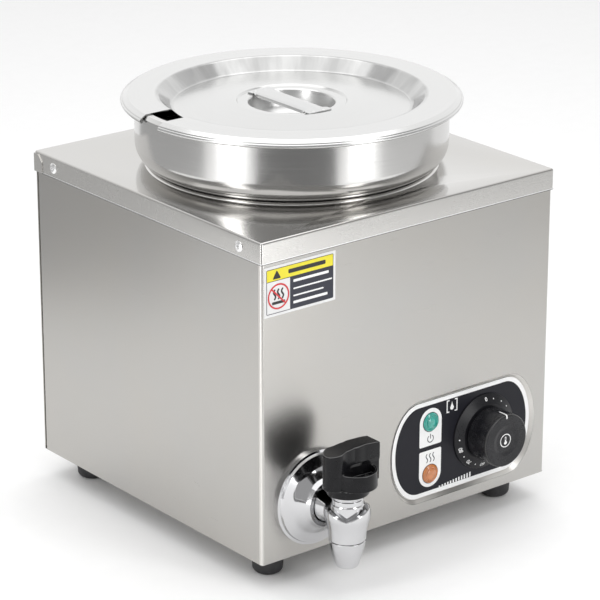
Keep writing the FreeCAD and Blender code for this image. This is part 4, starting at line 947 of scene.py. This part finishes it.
def dial_pieces():
    """Fixed dial ring with its temperature scale."""
    at = (DIAL[0], LABEL_Y, DIAL[1])
    ring = lathe_mesh("dial_skin", rounded([
        (4.6, 0), (29.0, 0), (29.0, -1.3, 0.5), (21.8, -4.6, 0.9), (4.6, -4.6),
    ]), at, "Y", 192)
    rooms = [
        prism_mesh("room", circle(DIAL[0] + x, DIAL[1], 4.2, 32), LABEL_Y - 3.2, LABEL_Y + 1, "Y")
        for x in (-14, 14)
    ]
    finish_piece("dial_skin", carved(ring, *rooms), "dial", "casing", "dial_black", 35, ["dial_ring"])
    lift = 0.05
    numbers = {0: "0", 86: "30", 119: "40", 152: "50", 185: "60", 218: "70", 250: "80"}
    for angle, text in numbers.items():
        data = bpy.data.curves.new("number_" + text, "FONT")
        data.body = text
        data.size = 4.3
        data.extrude = PRINT / 2
        data.offset = 0.06
        data.align_x = data.align_y = "CENTER"
        mesh = baked(loose(data))
        mapped(mesh, lambda u, v, w: on_cone(angle, u, v, lift + w))
        finish_piece("dial_number_" + text, mesh, "white", "casing", "dial_black", 60)
    step, first = 16.5, 86
    dots = [step] + [first + step * i for i in (-1, -2, -3, 1, 3, 5, 7, 9)] + [269]
    for angle in dots:
        mesh = flat_fill("dial_dot", [circle(0, 0, 0.55, 16)])
        mapped(mesh, lambda u, v, w: on_cone(angle, u, v, lift + w))
        finish_piece("dial_dot_%d" % angle, mesh, "white", "casing", "dial_black", 60)


def dome_facets(angle, radius, along):
    """Twelve shallow flats round a lamp's dome."""
    if along < -1.4 and radius < 4.6:
        part = (angle / (math.pi / 6)) % 1 - 0.5
        return radius * math.cos(math.pi / 12) / math.cos(part * math.pi / 6)
    return radius


def lamp_pieces():
    """Two signal lamps: bevelled coloured rim, a groove, and a faceted dome, each ringed by a printed black
    painted shadow.
    """
    for name, z, material in (("power", POWER_Z, "green"), ("heating", HEATING_Z, "orange")):
        lathe(name + "_lens_skin", [
            (0, 4.9), (0, -2.25), (2.4, -2.25, 0.8), (4.3, -1.75, 0.3), (4.6, -1.15, 0.15),
            (5.2, -1.15, 0.2), (5.7, -1.85, 0.3), (7.1, -0.8, 0.5), (7.2, 0), (4.4, 0), (4.4, 4.9),
        ], (LAMP_X, LABEL_Y, z), material, "casing", "Y", 144, dome_facets, angle=24,
            slot="lens_" + material, replaces=[name + "_lamp_lens"])
        # Painted shadow: a thin black printed ring just outside each lens stands for the shadow round its
        # rim.
        shadow_ring = [circle(LAMP_X, z, 7.6), circle(LAMP_X, z, 6.9)]
        printed(name + "_lamp_painted_shadow", shadow_ring, LABEL_Y - PRINT, "black")


def panel_graphics():
    """White border, two white tabs and plain symbols on the charcoal plate."""
    x, z = 52.8, 67.9
    border = [racetrack(x, z, 67.0, 37.0, 24.6), racetrack(x, z, 63.8, 33.8, 21.9)]
    printed("panel_border", border, LABEL_Y, "white")
    left, right = 12.0, 33.0
    middle = (left + right) / 2
    dome = (right - left) / 2
    for name, flat, arch, lamp_z, up in (
        ("power", 69.8, 98.9 - dome, POWER_Z, 1), ("heating", 66.3, 37.3 + dome, HEATING_Z, -1),
    ):
        box = rounded([(left, arch), (left, flat, 1.2), (right, flat, 1.2), (right, arch)], False)[1:-1]
        outline = arc(middle, arch, dome, 0, 180 * up, 30) + box
        printed(name + "_tab", [outline, circle(LAMP_X, lamp_z, 6.5)], LABEL_Y, "white")
    # Power symbol: a broken ring with a bar, and heat: three rising waves.
    printed("power_symbol", [
        arc_band(middle, 75.2, 2.45, 3.1, 125, 415),
        rectangle(middle - 0.34, 75.2, middle + 0.34, 79.0, 0.2),
    ], LABEL_Y - PRINT, "navy")
    printed("heat_symbol", rising_waves(middle, 57.0, 3.2, 0.75, 6.4, 0.75), LABEL_Y - PRINT, "navy")
    # Bracketed drop, for the water level in the bath.
    centre, low, high, bar = 42.9, 91.0, 100.8, 0.9
    marks = []
    for side in (-1, 1):
        near, far = centre + side * 2.6, centre + side * 5.2
        marks.append([
            (far, low), (far, high), (near, high), (near, high - bar),
            (far - side * bar, high - bar), (far - side * bar, low + bar), (near, low + bar), (near, low),
        ])
    tip = [(centre + 0.55, 97.2), (centre, 99.2), (centre - 0.55, 97.2)]
    marks.append(arc(centre, 94.4, 1.75, 150, 390, 24) + tip)
    printed("level_symbol", marks, LABEL_Y, "white")
    # A rising row of bars under the dial stands for the temperature.
    bars = []
    for i in range(12):
        start = 31.5 + 2.7 * i
        bars.append(rectangle(start, 34.3, start + 1.3, 35.3 + 0.27 * i))
    printed("scale_bars", bars, LABEL_Y, "white")


def sticker_graphics():
    """Plain coloured blocks and a picture of rising heat on the front label; no words."""
    face, inset = -115.5, 1.9
    left, right, low, high = -132.0 + inset, -69.6 - inset, 204.4 + inset, 240.6 - inset
    split_z = high - 8.6
    split_x = left + 21.0
    line = 0.45
    band = rectangle(left + line, split_z, right - line, high - line, 0.3)
    block = rectangle(split_x, low + line, right - line, split_z - line, 0.3)
    window = rectangle(left + line, low + line, split_x - line, split_z - line, 0.3)
    printed("sticker_frame", [rectangle(left, low, right, high, 1.0), window, block, band], face, "navy")
    printed("sticker_band", [band], face, "yellow")
    printed("sticker_block", [block], face, "navy")
    face -= PRINT
    x, z = left + 9.0, split_z + 1.0
    triangle = rounded([(x - 3.7, z, 0.5), (x + 3.7, z, 0.5), (x, z + 6.3, 0.5)])
    printed("sticker_triangle", [triangle], face, "black")
    title = rectangle(left + 19.0, split_z + 2.6, right - 7.0, split_z + 5.6, 0.8)
    printed("sticker_title_bar", [title], face, "black")
    x, z = (left + split_x) / 2, (low + split_z) / 2
    reach = 5.9
    printed("sticker_ring", [circle(x, z, 9.3, 72), circle(x, z, 8.1, 72)], face, "red")
    slash = stroke([(x - reach, z + reach), (x + reach, z - reach)], 1.2)
    printed("sticker_slash", [slash], face - PRINT, "red")
    steam = rising_waves(x, z - 1.6, 3.4, 0.8, 6.6, 1.3)
    steam.append(rectangle(x - 5.6, z - 5.4, x + 5.6, z - 3.4, 0.6))
    printed("sticker_steam", steam, face, "black")
    bars = []
    x = split_x + 2.4
    for i, (length, tall) in enumerate(((31.0, 1.9), (34.0, 1.1), (26.5, 1.1), (30.0, 1.9))):
        z = split_z - 4.6 - 5.2 * i
        bars.append(rectangle(x, z, x + length, z + tall, 0.4))
    printed("sticker_bars", bars, face, "white")


# ------------ back and underside
def cap_flutes(angle, radius, along):
    """Eighteen finger flutes round the gland cap's side."""
    if radius > 10.0 and 5.2 < along < 12.4:
        return radius - 0.45 * max(0.0, math.cos(18 * angle)) ** 2
    return radius


def gland_cap_piece():
    """Domed gland cap with finger flutes."""
    lathe("gland_cap_skin", [
        (8.65, 4.8), (10.6, 4.8, 0.4), (10.6, 6.0, 0.1), (10.6, 11.6, 0.1), (10.6, 12.0, 1.0),
        (8.0, 16.2, 2.5), (5.2, 16.2, 0.6), (5.2, 12.6), (8.65, 12.6),
    ], (70.0, BACK_Y, 45.0), "gland", "casing", "Y", 216, cap_flutes,
        slot="gland_plastic", replaces=["gland_cap"])


pot_piece()
lid_piece()
collar_piece()
# Painted shadow: a thin dark rubber band under the cover's skirt stands for the shadow in the gap there.
skirt_band("skirt_painted_shadow", -0.2, 0.42, 243.0, 243.65, "seal", "seal_rubber")
# Painted highlight: the cover's hem takes the paler rivet finish, so its lower edge shows as a bright line.
skirt_band("skirt_hem_painted_highlight", 0.1, 0.92, 243.62, 244.4, "rivet", "cover_steel")
strap_piece()
tap_pieces()
handle_piece()
knob_pieces()
dial_pieces()
lamp_pieces()
panel_graphics()
sticker_graphics()
gland_cap_piece()

# ------------ stage, light and camera
VIEW_AZIMUTH = math.radians(-38.73)
VIEW_ELEVATION = math.radians(20.16)
VIEW_ROLL = math.radians(0.06)
VIEW_TARGET = Vector((0.0078, 0.020, 0.1474))
VIEW_DISTANCE = 2.2019
LENS_MM = 176.8
FILM_MM = 36.0
SKY = {"From Min": 0.05, "From Max": 0.80, "To Min": 0.46, "To Max": 1.18}
SKY_TILT = math.radians(-18)


def toward(azimuth, elevation=0.0):
    """Direction from the object to a place round it; azimuth 0 is straight in front."""
    return Vector((
        math.sin(azimuth) * math.cos(elevation),
        -math.cos(azimuth) * math.cos(elevation),
        math.sin(elevation),
    ))


def facing(out):
    """The turn of a camera or light that stands on this side and looks back."""
    return out.to_track_quat("Z", "Y").to_matrix().to_4x4()


def camera():
    data = bpy.data.cameras.new("camera")
    data.lens = LENS_MM
    data.sensor_width = FILM_MM
    data.clip_end = 50.0
    thing = placed("camera", data)
    out = toward(VIEW_AZIMUTH, VIEW_ELEVATION)
    spot = Matrix.Translation(VIEW_TARGET + out * VIEW_DISTANCE)
    thing.matrix_world = spot @ facing(out) @ Matrix.Rotation(VIEW_ROLL, 4, "Z")
    bpy.context.scene.camera = thing


def area_light(name, width, height, power):
    """A rectangular light that the camera doesn't see."""
    data = bpy.data.lights.new(name, "AREA")
    data.shape = "RECTANGLE"
    data.size = width
    data.size_y = height
    data.energy = power
    thing = placed(name, data)
    thing.visible_camera = False
    return thing


def softbox(name, azimuth):
    """An upright light that stands on the floor a metre away and faces the object."""
    away, width, height, power = 1.0, 0.26, 1.3, 4.0
    out = toward(math.radians(azimuth))
    spot = Matrix.Translation(out * away + Vector((0, 0, height / 2)))
    area_light(name, width, height, power).matrix_world = spot @ facing(out)


def card(name, start, end, near, shade):
    """A matt card on the floor round the set, there only to be mirrored in the steel."""
    far, count, lift = 1.7, 16, 0.0004
    ways = [toward(math.radians(start + (end - start) * i / count)) for i in range(count + 1)]
    points = [(way.x * radius, way.y * radius, lift) for radius in (near, far) for way in ways]
    faces = [(i, i + 1, count + 2 + i, count + 1 + i) for i in range(count)]
    mesh = bpy.data.meshes.new(name)
    mesh.from_pydata(points, [], faces)
    thing = placed(name, mesh)
    t = Tree(name + "_cloth")
    weave = t.noise(t.place, 400.0, 2.0, 0.5)
    t.set(Base_Color=t.blend(weave, (shade,) * 3, (shade * 1.1,) * 3), Roughness=0.95)
    mesh.materials.append(t.material)
    thing.visible_camera = thing.visible_diffuse = thing.visible_shadow = False


def sky():
    """Bright wall behind the object, dim room on the camera's side."""
    world = bpy.data.worlds.new("sky")
    bpy.context.scene.world = world
    world.use_nodes = True
    nodes, links = world.node_tree.nodes, world.node_tree.links
    way = nodes.new("ShaderNodeTexCoord")
    along = nodes.new("ShaderNodeVectorMath")
    along.operation = "DOT_PRODUCT"
    along.inputs[1].default_value = -toward(VIEW_AZIMUTH, SKY_TILT)
    links.new(way.outputs["Generated"], along.inputs[0])
    ramped = nodes.new("ShaderNodeMapRange")
    ramped.interpolation_type = "SMOOTHSTEP"
    for socket, value in SKY.items():
        ramped.inputs[socket].default_value = value
    links.new(along.outputs["Value"], ramped.inputs["Value"])
    links.new(ramped.outputs[0], nodes["Background"].inputs["Strength"])
    nodes["Background"].inputs["Color"].default_value = (1, 1, 1, 1)


def studio():
    """Pale floor, bright wall behind, two tall softboxes, a light overhead, and four mirrored cards."""
    bpy.ops.mesh.primitive_plane_add(size=16, location=(0, 0, 0))
    floor = bpy.context.object
    floor.name = "floor"
    t = Tree("floor_paper")
    grain = t.noise(t.place, 60.0, 3.0, 0.6)
    paper = t.blend(grain, (0.93, 0.93, 0.93), (0.96, 0.96, 0.96))
    t.set(Base_Color=paper, Roughness=0.9, Specular_IOR_Level=0.1)
    floor.data.materials.append(t.material)
    sky()
    softbox("softbox_left", -81)
    softbox("softbox_right", 10)
    area_light("softbox_top", 2.6, 2.2, 20).location = (-0.15, 0.0, 1.9)
    card("card_front", -64, -8, 0.62, 0.16)
    card("card_right", 26, 80, 0.78, 0.64)
    card("card_left", -178, -134, 0.60, 0.42)
    card("card_left_front", -134, -102, 0.76, 0.42)
    view = bpy.context.scene.view_settings
    view.view_transform = "Standard"
    view.look = "None"


camera()
studio()
